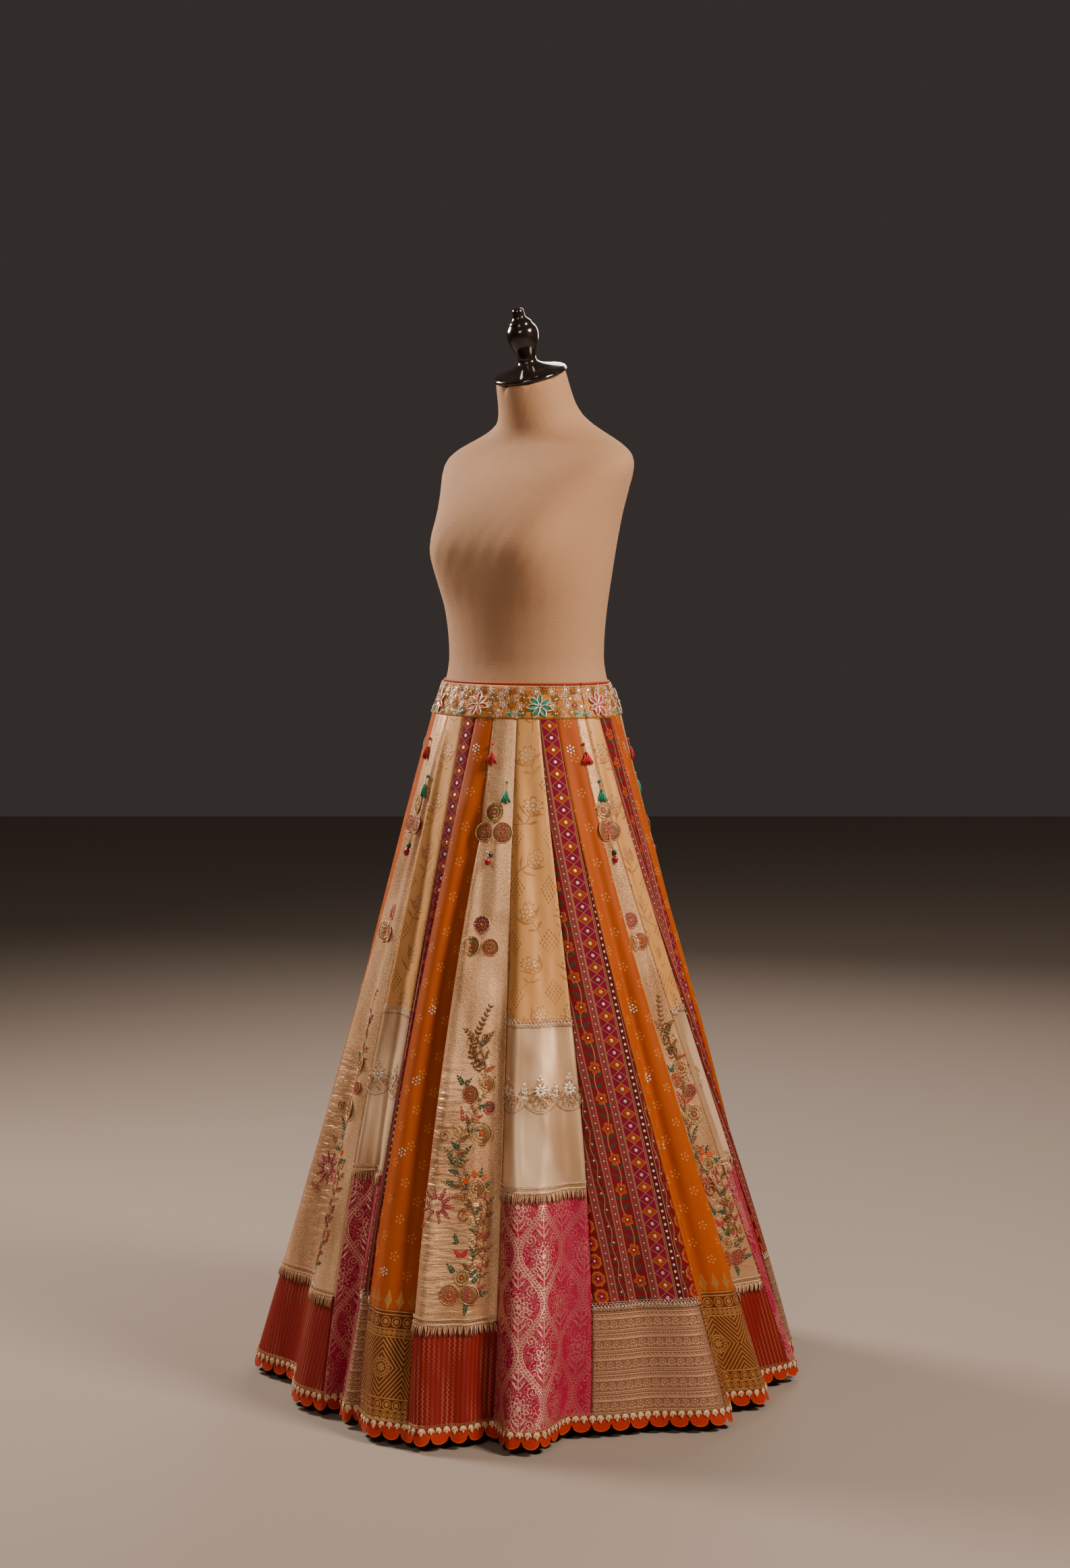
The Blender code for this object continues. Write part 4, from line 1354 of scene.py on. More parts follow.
def scallop_cloth():
    finish = Finish("scallop_cloth", 0.62, 0.0, sheen_weight=0.04, specular_ior_level=0.3)
    _, level = finish.xy()
    fibre = noise(finish.tree, 700.0, 2.0, stretch=(1, 1, 0.3))
    colour = finish.mix(fibre, (0.36, 0.012, 0.001), (0.46, 0.026, 0.001))
    colour = finish.mix(level.rising(0.90, 0.95), colour, (0.62, 0.085, 0.006))
    finish.raise_by(fibre, 0.0003)
    return finish.done(colour, 0.12)


lobe_places = hem_places(LOBES * SCALLOP_STEPS)
phase = (np.arange(LOBES * SCALLOP_STEPS) % SCALLOP_STEPS) / SCALLOP_STEPS
lobe_feet = SCALLOP_ROOT + (SCALLOP_TIP - SCALLOP_ROOT) * np.sqrt(np.clip(1 - (2 * phase - 1) ** 2, 0, 1))
levels = np.array(LOBE_LEVELS)[:, None]
lobe_heights = (CLOTH_HEM - SEAM_GAP) * (1 - levels) + lobe_feet * levels
lobe_grid = cloth_points(lobe_places[None, :] + 0 * levels, lobe_heights, TRIM_OUT)[0]
lobe_uv = np.stack([phase + 0 * levels, levels + 0 * phase], axis=-1)
scallops = grid_object("scallop_cloth", lobe_grid, lobe_uv, scallop_cloth(), TRIM_THICKNESS, closed=True)
declare_sheet(scallops, lobe_grid, "hung", "orange_sheet_1", "orange_scallops", "scallop_trim")
print("lobes:", LOBES)

# %% [markdown]
# ## Sewing small work onto the cloth
#
# The embroidery, fringes and beads are thousands of small stitches of a few shapes. Each stitch is written
# down as a place on the cloth or the band, a turn and a size. One Geometry Nodes tree then sets a motif on
# every stitch of a kind, turns it to the cloth, makes each a little uneven, and joins the result.

# %% The sewing tree
SEWING_SEED = 7
UNEVENNESS = 0.12
SWING = 1.2

# A Random Value node has a set of sockets for each data type. These are the ones for floats.
RANDOM_LOW, RANDOM_HIGH, RANDOM_VALUE = 2, 3, 1


def named_attribute(tree, name, data_type):
    node = tree.nodes.new("GeometryNodeInputNamedAttribute")
    node.data_type = data_type
    node.inputs["Name"].default_value = name
    return Field(tree, node.outputs["Attribute"])


def random_between(tree, low, high, seed):
    """A random number between two fields, for each stitch."""
    node = tree.nodes.new("FunctionNodeRandomValue")
    node.data_type = "FLOAT"
    feed(tree, node.inputs[RANDOM_LOW], low)
    feed(tree, node.inputs[RANDOM_HIGH], high)
    node.inputs["Seed"].default_value = seed
    return Field(tree, node.outputs[RANDOM_VALUE])


def make_sewing_tree():
    tree = bpy.data.node_groups.new("sew_on", "GeometryNodeTree")
    wanted = {"Geometry": "Geometry", "Motif": "Object", "Thread": "Material", "Unevenness": "Float"}
    for title, kind in wanted.items():
        tree.interface.new_socket(title, in_out="INPUT", socket_type=f"NodeSocket{kind}")
    tree.interface.new_socket("Geometry", in_out="OUTPUT", socket_type="NodeSocketGeometry")
    start, end = tree.nodes.new("NodeGroupInput"), tree.nodes.new("NodeGroupOutput")
    motif = tree.nodes.new("GeometryNodeObjectInfo")
    tree.links.new(start.outputs["Motif"], motif.inputs["Object"])
    uneven = Field(tree, start.outputs["Unevenness"])
    growth = random_between(tree, 1.0 - uneven, 1.0 + uneven, SEWING_SEED)
    swing = random_between(tree, uneven * -SWING, uneven * SWING, SEWING_SEED + 1)
    size = named_attribute(tree, "size", "FLOAT") * growth
    facing = tree.nodes.new("FunctionNodeEulerToRotation")
    feed(tree, facing.inputs[0], named_attribute(tree, "facing", "FLOAT_VECTOR"))
    spin_angles = tree.nodes.new("ShaderNodeCombineXYZ")
    feed(tree, spin_angles.inputs["Z"], swing)
    spin = tree.nodes.new("FunctionNodeEulerToRotation")
    tree.links.new(spin_angles.outputs[0], spin.inputs[0])
    turned = tree.nodes.new("FunctionNodeRotateRotation")
    turned.rotation_space = "LOCAL"
    tree.links.new(facing.outputs[0], turned.inputs[0])
    tree.links.new(spin.outputs[0], turned.inputs[1])
    place = tree.nodes.new("GeometryNodeInstanceOnPoints")
    tree.links.new(start.outputs["Geometry"], place.inputs["Points"])
    tree.links.new(motif.outputs["Geometry"], place.inputs["Instance"])
    tree.links.new(turned.outputs[0], place.inputs["Rotation"])
    feed(tree, place.inputs["Scale"], size)
    joined = tree.nodes.new("GeometryNodeRealizeInstances")
    tree.links.new(place.outputs["Instances"], joined.inputs["Geometry"])
    paint = tree.nodes.new("GeometryNodeSetMaterial")
    tree.links.new(joined.outputs["Geometry"], paint.inputs["Geometry"])
    tree.links.new(start.outputs["Thread"], paint.inputs["Material"])
    tree.links.new(paint.outputs["Geometry"], end.inputs["Geometry"])
    return tree


sewing_tree = make_sewing_tree()
print("sewing tree:", len(sewing_tree.nodes), "nodes")

# %% [markdown]
# ## The motifs
#
# Each motif lies flat: +X across the cloth, +Y up it and +Z out of it. Petals, leaves, loops, curls and
# threads are one unit long, and round motifs have a radius of one unit. A stitch gives the unit in metres.

# %% Motif meshes
motifs = {}


def add_motif(name, mesh):
    mesh.name = f"motif_{name}"
    motifs[name] = link(bpy.data.objects.new(f"motif_{name}", mesh))


def padded_shape(name, outline, rows, height):
    """A shape padded like satin stitch. The outline gives half widths from root to tip, over length 1."""
    levels = np.linspace(0, 1, rows)
    widths = np.array([outline(level) for level in levels])
    sides = np.array([-1, 0, 1])
    points = np.zeros((rows, 3, 3))
    points[..., 0] = widths[:, None] * sides
    points[..., 1] = levels[:, None]
    points[..., 2] = height * np.sin(np.pi * np.clip(levels, 0.04, 0.96))[:, None] * (1 - np.abs(sides))
    add_motif(name, smooth_mesh(name, points, quads(number_grid(rows, 3)).tolist()))


def ball_mesh(name, rings, sides, stretch):
    """A ball of radius 1, stretched along Y."""
    polar = np.linspace(0, np.pi, rings + 1)
    path = np.stack([0 * polar, np.cos(polar) * stretch, 0 * polar], axis=-1)
    return tube_mesh(name, path, np.maximum(np.sin(polar), 0.02), sides)


def circle(radius, count):
    turns = np.linspace(0, math.tau, count, endpoint=False)
    return np.stack([np.cos(turns) * radius, np.sin(turns) * radius, 0 * turns], axis=-1)


def spiral(turns, count):
    share = np.linspace(0, 1, count)
    angle = share * turns * math.tau
    reach = 0.5 * (1 - share * 0.85)
    return np.stack([np.cos(angle) * reach, np.sin(angle) * reach, 0.06 + 0 * share], axis=-1)


def dish_mesh(name, sides, rim, rings=((1.0, 0.0), (0.7, 1.0), (0.2, 0.75))):
    """A low round dish with rings of points at radius and height, as a share of the rim."""
    points = [point for radius, height in rings for point in circle(radius, sides) + [0, 0, rim * height]]
    faces = []
    for level in range(len(rings) - 1):
        for side in range(sides):
            a, b = level * sides + side, level * sides + (side + 1) % sides
            faces.append((a, b, b + sides, a + sides))
    faces.append(tuple((len(rings) - 1) * sides + side for side in range(sides)))
    return smooth_mesh(name, points, faces)


padded_shape("petal", lambda t: 0.24 * math.sin(math.pi * min(t * 1.05, 1)) ** 0.7 + 0.02, 5, 0.13)
padded_shape("leaf", lambda t: 0.21 * math.sin(math.pi * t**0.8) + 0.01, 6, 0.12)
add_motif("bead", ball_mesh("bead", 5, 8, 1.0))
add_motif("drop", ball_mesh("drop", 6, 8, 1.5))
add_motif("ring", tube_mesh("ring", circle(1.0, 22) + [0, 0, 0.06], 0.055, 3, closed=True))
add_motif("curl", tube_mesh("curl", spiral(1.6, 18), np.linspace(0.055, 0.03, 18), 3))
strand_path = [(0, -0.5, 0.0), (0, 0, 0.10), (0, 0.5, 0.0)]
add_motif("strand", tube_mesh("strand", strand_path, [0.05, 0.10, 0.05], 3))
add_motif("sequin", dish_mesh("sequin", 10, 0.16))
add_motif("dome", dish_mesh("dome", 16, 0.06, ((1.0, 0.0), (0.92, 0.9), (0.5, 1.0), (0.12, 0.5))))
half_loop = [(0.17, 0.30, 0.06), (0.20, 0.65, 0.06)]
loop_path = [(0, 0, 0.03), *half_loop, (0, 1, 0.03), (-0.20, 0.65, 0.06), (-0.17, 0.30, 0.06)]
add_motif("loop", tube_mesh("loop", loop_path, 0.066, 3, closed=True))
thread_path = [(0, 0, 0.02), (0.02, -0.35, 0.07), (-0.01, -0.7, 0.06), (0.03, -1.0, 0.02)]
add_motif("thread", tube_mesh("thread", thread_path, [0.035, 0.045, 0.04, 0.02], 3))
print("motifs:", *motifs)

# %% [markdown]
# ## Threads, wires and beads
#
# Metal wires are dull gold, silver and bronze, silks are matt, and glass beads are smooth and glossy.

# %% Thread materials


def thread_finish(name, light, dark, roughness, metallic):
    finish = Finish(name, roughness, metallic)
    twist = noise(finish.tree, 800.0, 2.0)
    finish.raise_by(twist, 0.0003)
    return finish.done(finish.mix(twist.rising(0.35, 0.65), dark, light), 0.15)


Thread = namedtuple("Thread", "light dark roughness metallic")
THREADS = {
    "gold_wire": Thread((0.80, 0.48, 0.21), (0.44, 0.22, 0.08), 0.36, 0.40),
    "silver_wire": Thread((0.98, 0.86, 0.73), (0.66, 0.50, 0.37), 0.28, 0.40),
    "brown_wire": Thread((0.30, 0.135, 0.045), (0.13, 0.048, 0.014), 0.50, 0.20),
    "red_silk": Thread((0.60, 0.006, 0.026), (0.36, 0.003, 0.014), 0.50, 0.0),
    "pink_silk": Thread((0.40, 0.030, 0.048), (0.24, 0.012, 0.024), 0.55, 0.0),
    "rust_silk": Thread((0.46, 0.085, 0.022), (0.28, 0.035, 0.010), 0.55, 0.0),
    "orange_silk": Thread((0.74, 0.095, 0.006), (0.52, 0.045, 0.003), 0.50, 0.0),
    "green_silk": Thread((0.012, 0.105, 0.052), (0.005, 0.050, 0.026), 0.50, 0.0),
    "mint_silk": Thread((0.018, 0.33, 0.19), (0.008, 0.17, 0.10), 0.50, 0.0),
    "red_glass": Thread((0.42, 0.008, 0.03), (0.22, 0.003, 0.012), 0.10, 0.0),
    "green_glass": Thread((0.012, 0.07, 0.035), (0.006, 0.03, 0.016), 0.10, 0.0),
    "silver_sequin": Thread((0.95, 0.90, 0.84), (0.72, 0.64, 0.56), 0.14, 0.85),
    "fringe_gold": Thread((0.90, 0.58, 0.35), (0.58, 0.33, 0.18), 0.50, 0.10),
    "fringe_rose": Thread((0.36, 0.165, 0.095), (0.17, 0.066, 0.036), 0.55, 0.10),
    "braid_gold": Thread((0.88, 0.60, 0.36), (0.58, 0.34, 0.18), 0.42, 0.15),
}
thread_materials = {name: thread_finish(name, *kind) for name, kind in THREADS.items()}
print("threads:", len(thread_materials))

# %% [markdown]
# ## Places for stitches
#
# `sew` writes down one stitch at metres across a panel and a height. `sew_line` follows a path with short
# strands laid end to end, and `spray` sets pairs of petals along a line, as leaves and flower arms are made.

# %% Writing stitches down
Stitch = namedtuple("Stitch", "ground along height lift turn size")
WALK_HEIGHTS = np.linspace(CLOTH_HEM, BAND_BOTTOM, 90)
WALK_SHARES = np.linspace(0, 1, 17)
LIFT = 0.0004
walks = lengths_along(hung_points(np.arange(PANELS)[:, None, None] + WALK_SHARES, WALK_HEIGHTS[:, None]))
stitches = {}


def panel_width(panel, height):
    return float(np.interp(height, WALK_HEIGHTS, walks[panel, :, -1]))


def place_on(panel, x, height):
    """The place on the skirt that is x metres across a panel from its middle line."""
    level = round((height - CLOTH_HEM) / (WALK_HEIGHTS[1] - CLOTH_HEM))
    walk = walks[panel, min(max(level, 0), len(WALK_HEIGHTS) - 1)]
    return panel + float(np.interp(x + walk[-1] / 2, walk, WALK_SHARES))


def sew_at(piece, motif, thread, ground, along, height, turn, size, lift=LIFT):
    stitches.setdefault((piece, motif, thread), []).append(Stitch(ground, along, height, lift, turn, size))


def sew(piece, motif, thread, panel, x, height, turn, size, lift=LIFT):
    """One motif on a panel, at x metres from its middle line and a height above the floor."""
    sew_at(piece, motif, thread, "cloth", place_on(panel, x, height), height, turn, size, lift)


def away(x, height, turn, reach):
    """The spot that is a reach away from another, in the direction of a turn."""
    return x - reach * math.sin(turn), height + reach * math.cos(turn)


def along_path(path, step):
    """Points spaced evenly along a path of flat points, each with the direction of the path there."""
    path = np.asarray(path, float)
    travelled = lengths_along(path[None])[0]
    count = max(2, round(travelled[-1] / step) + 1)
    for distance in np.linspace(0, travelled[-1], count):
        x, y = (float(np.interp(distance, travelled, path[:, axis])) for axis in (0, 1))
        index = min(int(np.searchsorted(travelled, distance, side="right")), len(path) - 1)
        ahead = path[index] - path[index - 1]
        yield x, y, math.atan2(-ahead[0], ahead[1])


def sew_line(piece, thread, panel, path, step, size, lift=LIFT):
    """Strands of a size laid along a path, one each step."""
    for x, height, turn in along_path(path, step):
        sew(piece, "strand", thread, panel, x, height, turn, size, lift)


def ring_of(piece, motif, thread, panel, x, height, count, ring, size, start=0.0, lift=LIFT):
    """A count of motifs round a ring, each pointing outwards. The first stands at the start turn."""
    for n in range(count):
        turn = start + math.tau * n / count
        sew(piece, motif, thread, panel, *away(x, height, turn, ring), turn, size, lift)


def spray(piece, thread, panel, x, height, turn, length, pairs, size, stem="gold_wire"):
    """Pairs of petals along a stem that leans by a turn, and one at its tip."""
    for n in range(pairs):
        base = away(x, height, turn, length * (n + 0.3) / pairs)
        petal = size * (1 - 0.35 * n / pairs)
        for side in (-1, 1):
            sew(piece, "petal", thread, panel, *base, turn + side * 0.65, petal)
    tip = away(x, height, turn, length)
    sew(piece, "petal", thread, panel, *tip, turn, size * 0.9)
    sew_line(piece, stem, panel, [(x, height), tip], 0.0026, 0.0030, 0.0009)


Spokes = namedtuple("Spokes", "ring count length")
MEDALLION_SPOKES = (Spokes(0.60, 24, 0.36), Spokes(0.30, 15, 0.28))
MEDALLION_TICKS = (Spokes(0.80, 12, 0.2), Spokes(0.44, 9, 0.2))


def medallion(piece, panel, x, height, radius, thread):
    """A round of couched thread on a dark ground: rings of spokes, silver ticks and a bright middle."""
    sew(piece, "dome", "brown_wire", panel, x, height, 0, radius * 0.92, 0.0001)
    sew(piece, "ring", "gold_wire", panel, x, height, 0, radius * 0.97, 0.0004)
    for ring, count, length in MEDALLION_SPOKES:
        reach, spoke = radius * ring, radius * length
        ring_of(piece, "petal", thread, panel, x, height, count, reach, spoke, ring, 0.0009)
    for ring, count, length in MEDALLION_TICKS:
        reach, tick = radius * ring, radius * length
        ring_of(piece, "strand", "silver_wire", panel, x, height, count, reach, tick, 0, 0.0015)
    ring_of(piece, "petal", "orange_silk", panel, x, height, 6, radius * 0.04, radius * 0.22, 0.0, 0.0013)
    sew(piece, "bead", "silver_sequin", panel, x, height, 0, radius * 0.06, 0.0022)


print("stitch tools ready")

# %% [markdown]
# ## The embroidery on the satin tissue
#
# Down each satin panel come two trios of medallions and then a flowering vine, with a feather of bronze
# leaves at its head and a smaller stem beside it. The tables give each figure's distance from the panel's
# middle and its height, on a panel of the front. Other panels are wider or narrower, so the distances
# stretch with them.

# %% Satin embroidery
MODEL_PANEL = 5
GREATEST_STRETCH = 1.25
Round = namedtuple("Round", "x height radius thread")
ROUNDS = (
    Round(0.0005, 0.838, 0.0136, "gold_wire"),
    Round(-0.0138, 0.810, 0.0132, "rust_silk"),
    Round(0.0150, 0.810, 0.0136, "pink_silk"),
    Round(-0.0020, 0.685, 0.0132, "pink_silk"),
    Round(-0.0150, 0.655, 0.0136, "gold_wire"),
    Round(0.0135, 0.655, 0.0130, "rust_silk"),
    Round(0.0257, 0.474, 0.0125, "gold_wire"),
    Round(0.0039, 0.459, 0.0115, "rust_silk"),
    Round(0.0328, 0.442, 0.0100, "pink_silk"),
    Round(0.0237, 0.408, 0.0145, "gold_wire"),
    Round(0.0220, 0.336, 0.0122, "gold_wire"),
    Round(0.0096, 0.220, 0.0120, "gold_wire"),
    Round(-0.0054, 0.198, 0.0145, "rust_silk"),
    Round(0.0222, 0.198, 0.0118, "pink_silk"),
)
Spray = namedtuple("Spray", "x height degrees length pairs size thread")
SPRAYS = (
    Spray(0.004, 0.534, 58, 0.0168, 3, 0.0072, "brown_wire"),
    Spray(0.016, 0.530, -48, 0.0144, 3, 0.00765, "brown_wire"),
    Spray(-0.0065, 0.470, 38, 0.012, 3, 0.00675, "green_silk"),
    Spray(-0.0045, 0.469, -35, 0.0096, 2, 0.0063, "green_silk"),
    Spray(-0.0028, 0.422, 12, 0.0168, 4, 0.0054, "red_silk"),
    Spray(0.0080, 0.424, -62, 0.0144, 4, 0.00495, "red_silk"),
    Spray(-0.0063, 0.402, 30, 0.012, 3, 0.0081, "gold_wire"),
    Spray(-0.0063, 0.402, -35, 0.012, 3, 0.0072, "gold_wire"),
    Spray(-0.0090, 0.366, 38, 0.024, 5, 0.00675, "green_silk"),
    Spray(-0.0075, 0.366, -35, 0.0264, 5, 0.00675, "green_silk"),
    Spray(-0.0080, 0.341, 82, 0.0168, 4, 0.00585, "green_silk"),
    Spray(0.0110, 0.346, 30, 0.0096, 2, 0.0063, "green_silk"),
    Spray(0.0250, 0.350, -25, 0.0096, 2, 0.0063, "green_silk"),
    Spray(0.0340, 0.338, -70, 0.0096, 2, 0.0063, "green_silk"),
    Spray(0.0010, 0.262, 15, 0.012, 3, 0.0063, "green_silk"),
    Spray(0.0068, 0.246, 40, 0.0096, 3, 0.0063, "red_silk"),
    Spray(0.0068, 0.246, -40, 0.0096, 3, 0.0063, "red_silk"),
    Spray(0.0000, 0.226, 40, 0.012, 3, 0.0063, "green_silk"),
    Spray(0.0240, 0.214, -55, 0.0144, 3, 0.0063, "green_silk"),
    Spray(0.0340, 0.196, -80, 0.0144, 3, 0.0063, "green_silk"),
    Spray(0.0180, 0.188, 175, 0.012, 3, 0.00585, "green_silk"),
    Spray(0.0420, 0.268, -30, 0.0084, 3, 0.0063, "pink_silk"),
    Spray(0.0470, 0.230, -10, 0.0096, 3, 0.0063, "rust_silk"),
    Spray(0.0324, 0.305, 5, 0.0096, 3, 0.0063, "pink_silk"),
    Spray(0.0226, 0.276, -40, 0.0084, 2, 0.00675, "brown_wire"),
)
Curl = namedtuple("Curl", "x height degrees size thread")
CURLS = (
    Curl(0.0068, 0.518, 90, 0.021, "brown_wire"),
    Curl(0.0184, 0.534, 250, 0.015, "brown_wire"),
    Curl(-0.0010, 0.528, 30, 0.014, "gold_wire"),
    Curl(0.014, 0.500, 200, 0.020, "brown_wire"),
    Curl(-0.0256, 0.402, 40, 0.018, "brown_wire"),
    Curl(-0.0295, 0.358, 120, 0.014, "gold_wire"),
    Curl(0.0030, 0.362, 250, 0.013, "gold_wire"),
    Curl(0.0080, 0.300, 60, 0.020, "rust_silk"),
    Curl(-0.0440, 0.286, 150, 0.016, "rust_silk"),
    Curl(0.0300, 0.255, 20, 0.014, "brown_wire"),
)

# Points of the vine's stem, of its feather and of the side stem: across from the panel's middle, and up
STEM = (
    (0.010, 0.530),
    (0.021, 0.500),
    (0.026, 0.468),
    (0.012, 0.432),
    (-0.004, 0.400),
    (-0.008, 0.366),
    (0.002, 0.338),
    (0.018, 0.312),
    (0.030, 0.284),
    (0.028, 0.252),
    (0.018, 0.222),
)
FEATHER = (
    (0.0120, 0.496),
    (0.0040, 0.504),
    (0.0010, 0.516),
    (0.0040, 0.532),
    (0.0090, 0.547),
    (0.0150, 0.561),
    (0.0210, 0.575),
)
SIDE_STEM = (
    (0.036, 0.336),
    (0.043, 0.308),
    (0.038, 0.280),
    (0.043, 0.250),
    (0.039, 0.216),
    (0.033, 0.196),
)
VINE_LEAF_STEP = 0.0085
SEED_STEP = 0.0032
FEATHER_LEAF_STEP = 0.0066
SIDE_LEAF_STEP = 0.0078
VINE_LEAVES = ("brown_wire", "green_silk", "gold_wire", "brown_wire", "green_silk", "rust_silk", "gold_wire")
SIDE_LEAVES = ("brown_wire", "gold_wire", "pink_silk")
SEEDS = ("brown_wire", "gold_wire", "brown_wire", "silver_wire")
BERRIES = ((0.0075, 0.3455), (0.0190, 0.3545), (0.0325, 0.3510))
Star = namedtuple("Star", "x height arms inner_radius arm_length")
STAR = Star(-0.0301, 0.313, 10, 0.006, 0.014)


def stretched(panel, x, height):
    """A spot of the model panel, moved in or out to suit another panel's width."""
    stretch = panel_width(panel, height) / panel_width(MODEL_PANEL, height)
    return x * min(GREATEST_STRETCH, stretch), height


def embroider_satin(panel):
    piece = "satin_vine"
    for x, height, radius, thread in ROUNDS:
        medallion("satin_medallions", panel, *stretched(panel, x, height), radius, thread)
    for x, height, degrees, length, pairs, size, thread in SPRAYS:
        root = stretched(panel, x, height)
        spray(piece, thread, panel, *root, math.radians(degrees), length, pairs, size)
    for x, height, degrees, size, thread in CURLS:
        spot = stretched(panel, x, height)
        sew(piece, "curl", thread, panel, *spot, math.radians(degrees), size, 0.0006)
    stem = [stretched(panel, *point) for point in STEM]
    sew_line(piece, "brown_wire", panel, stem, 0.0022, 0.0038)
    sew_line(piece, "gold_wire", panel, [(x + 0.0020, height) for x, height in stem], 0.0026, 0.0034)
    sew_line(piece, "green_silk", panel, [(x - 0.0018, height) for x, height in stem], 0.0030, 0.0030)
    for n, (x, height, turn) in enumerate(along_path(stem, VINE_LEAF_STEP)):
        thread = VINE_LEAVES[n % len(VINE_LEAVES)]
        lean = turn + (1 if n % 2 else -1) * (2.1 + 0.3 * math.sin(n * 2.3))
        length = 0.012 + 0.003 * math.sin(n * 1.3)
        spray(piece, thread, panel, x, height, lean, length, 3, 0.0058, "brown_wire")
    feather = [stretched(panel, *point) for point in FEATHER]
    sew_line(piece, "brown_wire", panel, feather, 0.0026, 0.0034)
    for n, (x, height, turn) in enumerate(along_path(feather, FEATHER_LEAF_STEP)):
        for side in (-1, 1):
            leaf_turn, leaf_size = turn + side * (1.05 - 0.03 * n), 0.0100 - 0.0003 * n
            sew(piece, "petal", "brown_wire", panel, x, height, leaf_turn, leaf_size)
    side_stem = [stretched(panel, *point) for point in SIDE_STEM]
    sew_line(piece, "brown_wire", panel, side_stem, 0.0026, 0.0036)
    for n, (x, height, turn) in enumerate(along_path(side_stem, SIDE_LEAF_STEP)):
        lean = turn + (1 if n % 2 else -1) * 2.2
        thread = SIDE_LEAVES[n % len(SIDE_LEAVES)]
        spray(piece, thread, panel, x, height, lean, 0.010, 2, 0.0056, "brown_wire")
    for n, (x, height, turn) in enumerate(along_path(stem, SEED_STEP)):
        for m, reach in enumerate((0.004, 0.008, 0.012)):
            seed_x = x + reach * math.sin(n * 1.7 + m * 2.4) + 0.003 * math.cos(n * 0.9)
            seed_y = height + 0.003 * math.sin(n + m)
            thread = SEEDS[(n + m) % len(SEEDS)]
            sew(piece, "strand", thread, panel, seed_x, seed_y, turn + n * 2.4 + m, 0.0042)
    for berry in BERRIES:
        spot = stretched(panel, *berry)
        ring_of(piece, "petal", "orange_silk", panel, *spot, 7, 0.0, 0.0056, 0.0, 0.0008)
    middle = stretched(panel, STAR.x, STAR.height)
    for n in range(STAR.arms):
        turn = math.tau * n / STAR.arms + 0.2
        root = away(*middle, turn, STAR.inner_radius)
        spray(piece, "pink_silk", panel, *root, turn, STAR.arm_length, 4, 0.0056, "silver_wire")
    ring_of(piece, "strand", "silver_wire", panel, *middle, STAR.arms, 0.0036, 0.004, 0.0, 0.0010)


for panel in panels_of("tissue"):
    embroider_satin(panel)
print("satin stitches:", sum(len(kind) for kind in stitches.values()))

# %% [markdown]
# ## Tassels and bead drops
#
# Each satin panel has a red and a green tassel below the band, and three beads on strings under the first
# medallions. A tassel is a knot, three gold threads, and a fan of silk.

# %% Tassels and drops
Tassel = namedtuple("Tassel", "x height thread spread")
TASSELS = (Tassel(-0.0137, 0.931, "red_silk", 0.55), Tassel(0.0140, 0.879, "mint_silk", 0.36))
TASSEL_STEM = 0.0125
TASSEL_FAN = 0.0170
TASSEL_THREADS = 30
TASSEL_CORDS = (-0.0011, 0.0, 0.0011)
STRING_TOP = 0.808
STRING_FOOT = 0.784
STRING_LEANS = (-0.0045, 0.0, 0.0015)
Drop = namedtuple("Drop", "motif thread x height turn size lift")
DROPS = (
    Drop("drop", "green_glass", 0.0012, 0.7795, 0.2, 0.0031, 0.0030),
    Drop("drop", "red_glass", -0.0018, 0.7700, 0.0, 0.0040, 0.0038),
    Drop("bead", "silver_sequin", -0.0055, 0.7830, 0.0, 0.0014, 0.0016),
)


def hang_tassel(panel, x, height, thread, spread):
    piece = "tassels"
    sew(piece, "bead", thread, panel, x, height, 0, 0.0022, 0.0015)
    for side in TASSEL_CORDS:
        path = [(x + side * 0.4, height - 0.001), (x + side, height - TASSEL_STEM)]
        sew_line(piece, "gold_wire", panel, path, 0.0028, 0.0036, 0.0018)
    sew(piece, "bead", thread, panel, x, height - TASSEL_STEM, 0, 0.0020, 0.0020)
    for n in range(TASSEL_THREADS):
        share = (n + 0.5) / TASSEL_THREADS * 2 - 1
        lift = 0.0012 + 0.0022 * (1 - share * share) * (n % 3) / 2
        knot = (x + share * 0.0012, height - TASSEL_STEM)
        sew(piece, "thread", thread, panel, *knot, share * spread, TASSEL_FAN, lift)


for panel in panels_of("tissue"):
    for x, height, thread, spread in TASSELS:
        hang_tassel(panel, *stretched(panel, x, height), thread, spread)
    middle, _ = stretched(panel, 0.0006, 0.8)
    for lean in STRING_LEANS:
        string = [(middle, STRING_TOP), (middle + lean, STRING_FOOT)]
        sew_line("bead_drops", "gold_wire", panel, string, 0.0026, 0.0050, 0.0018)
    for drop in DROPS:
        spot = (middle + drop.x, drop.height)
        sew("bead_drops", drop.motif, drop.thread, panel, *spot, drop.turn, drop.size, drop.lift)

# %% [markdown]
# ## Laces on the brocade panels and the gold border
#
# A silver zigzag covers the join of the jacquard and the plain tissue, and another the top of the gold
# border. Lower on the tissue runs a row of silver arches, each with a flower in it.

# %% Laces
ARCH_WIDTH = 0.0446
ARCH_FOOT = 0.436
ARCH_SAG = 0.011
ARCH_FLOWER_RISE = 0.029
ARCH_LOOP_ROWS = (0.0055, 0.0105, 0.0155, 0.0205)
ARCH_THREADS = ("gold_wire", "silver_wire", "brown_wire", "gold_wire", "silver_wire")
ZIGZAG_PITCH = 0.0098
ZIGZAG_RISE = 0.0038


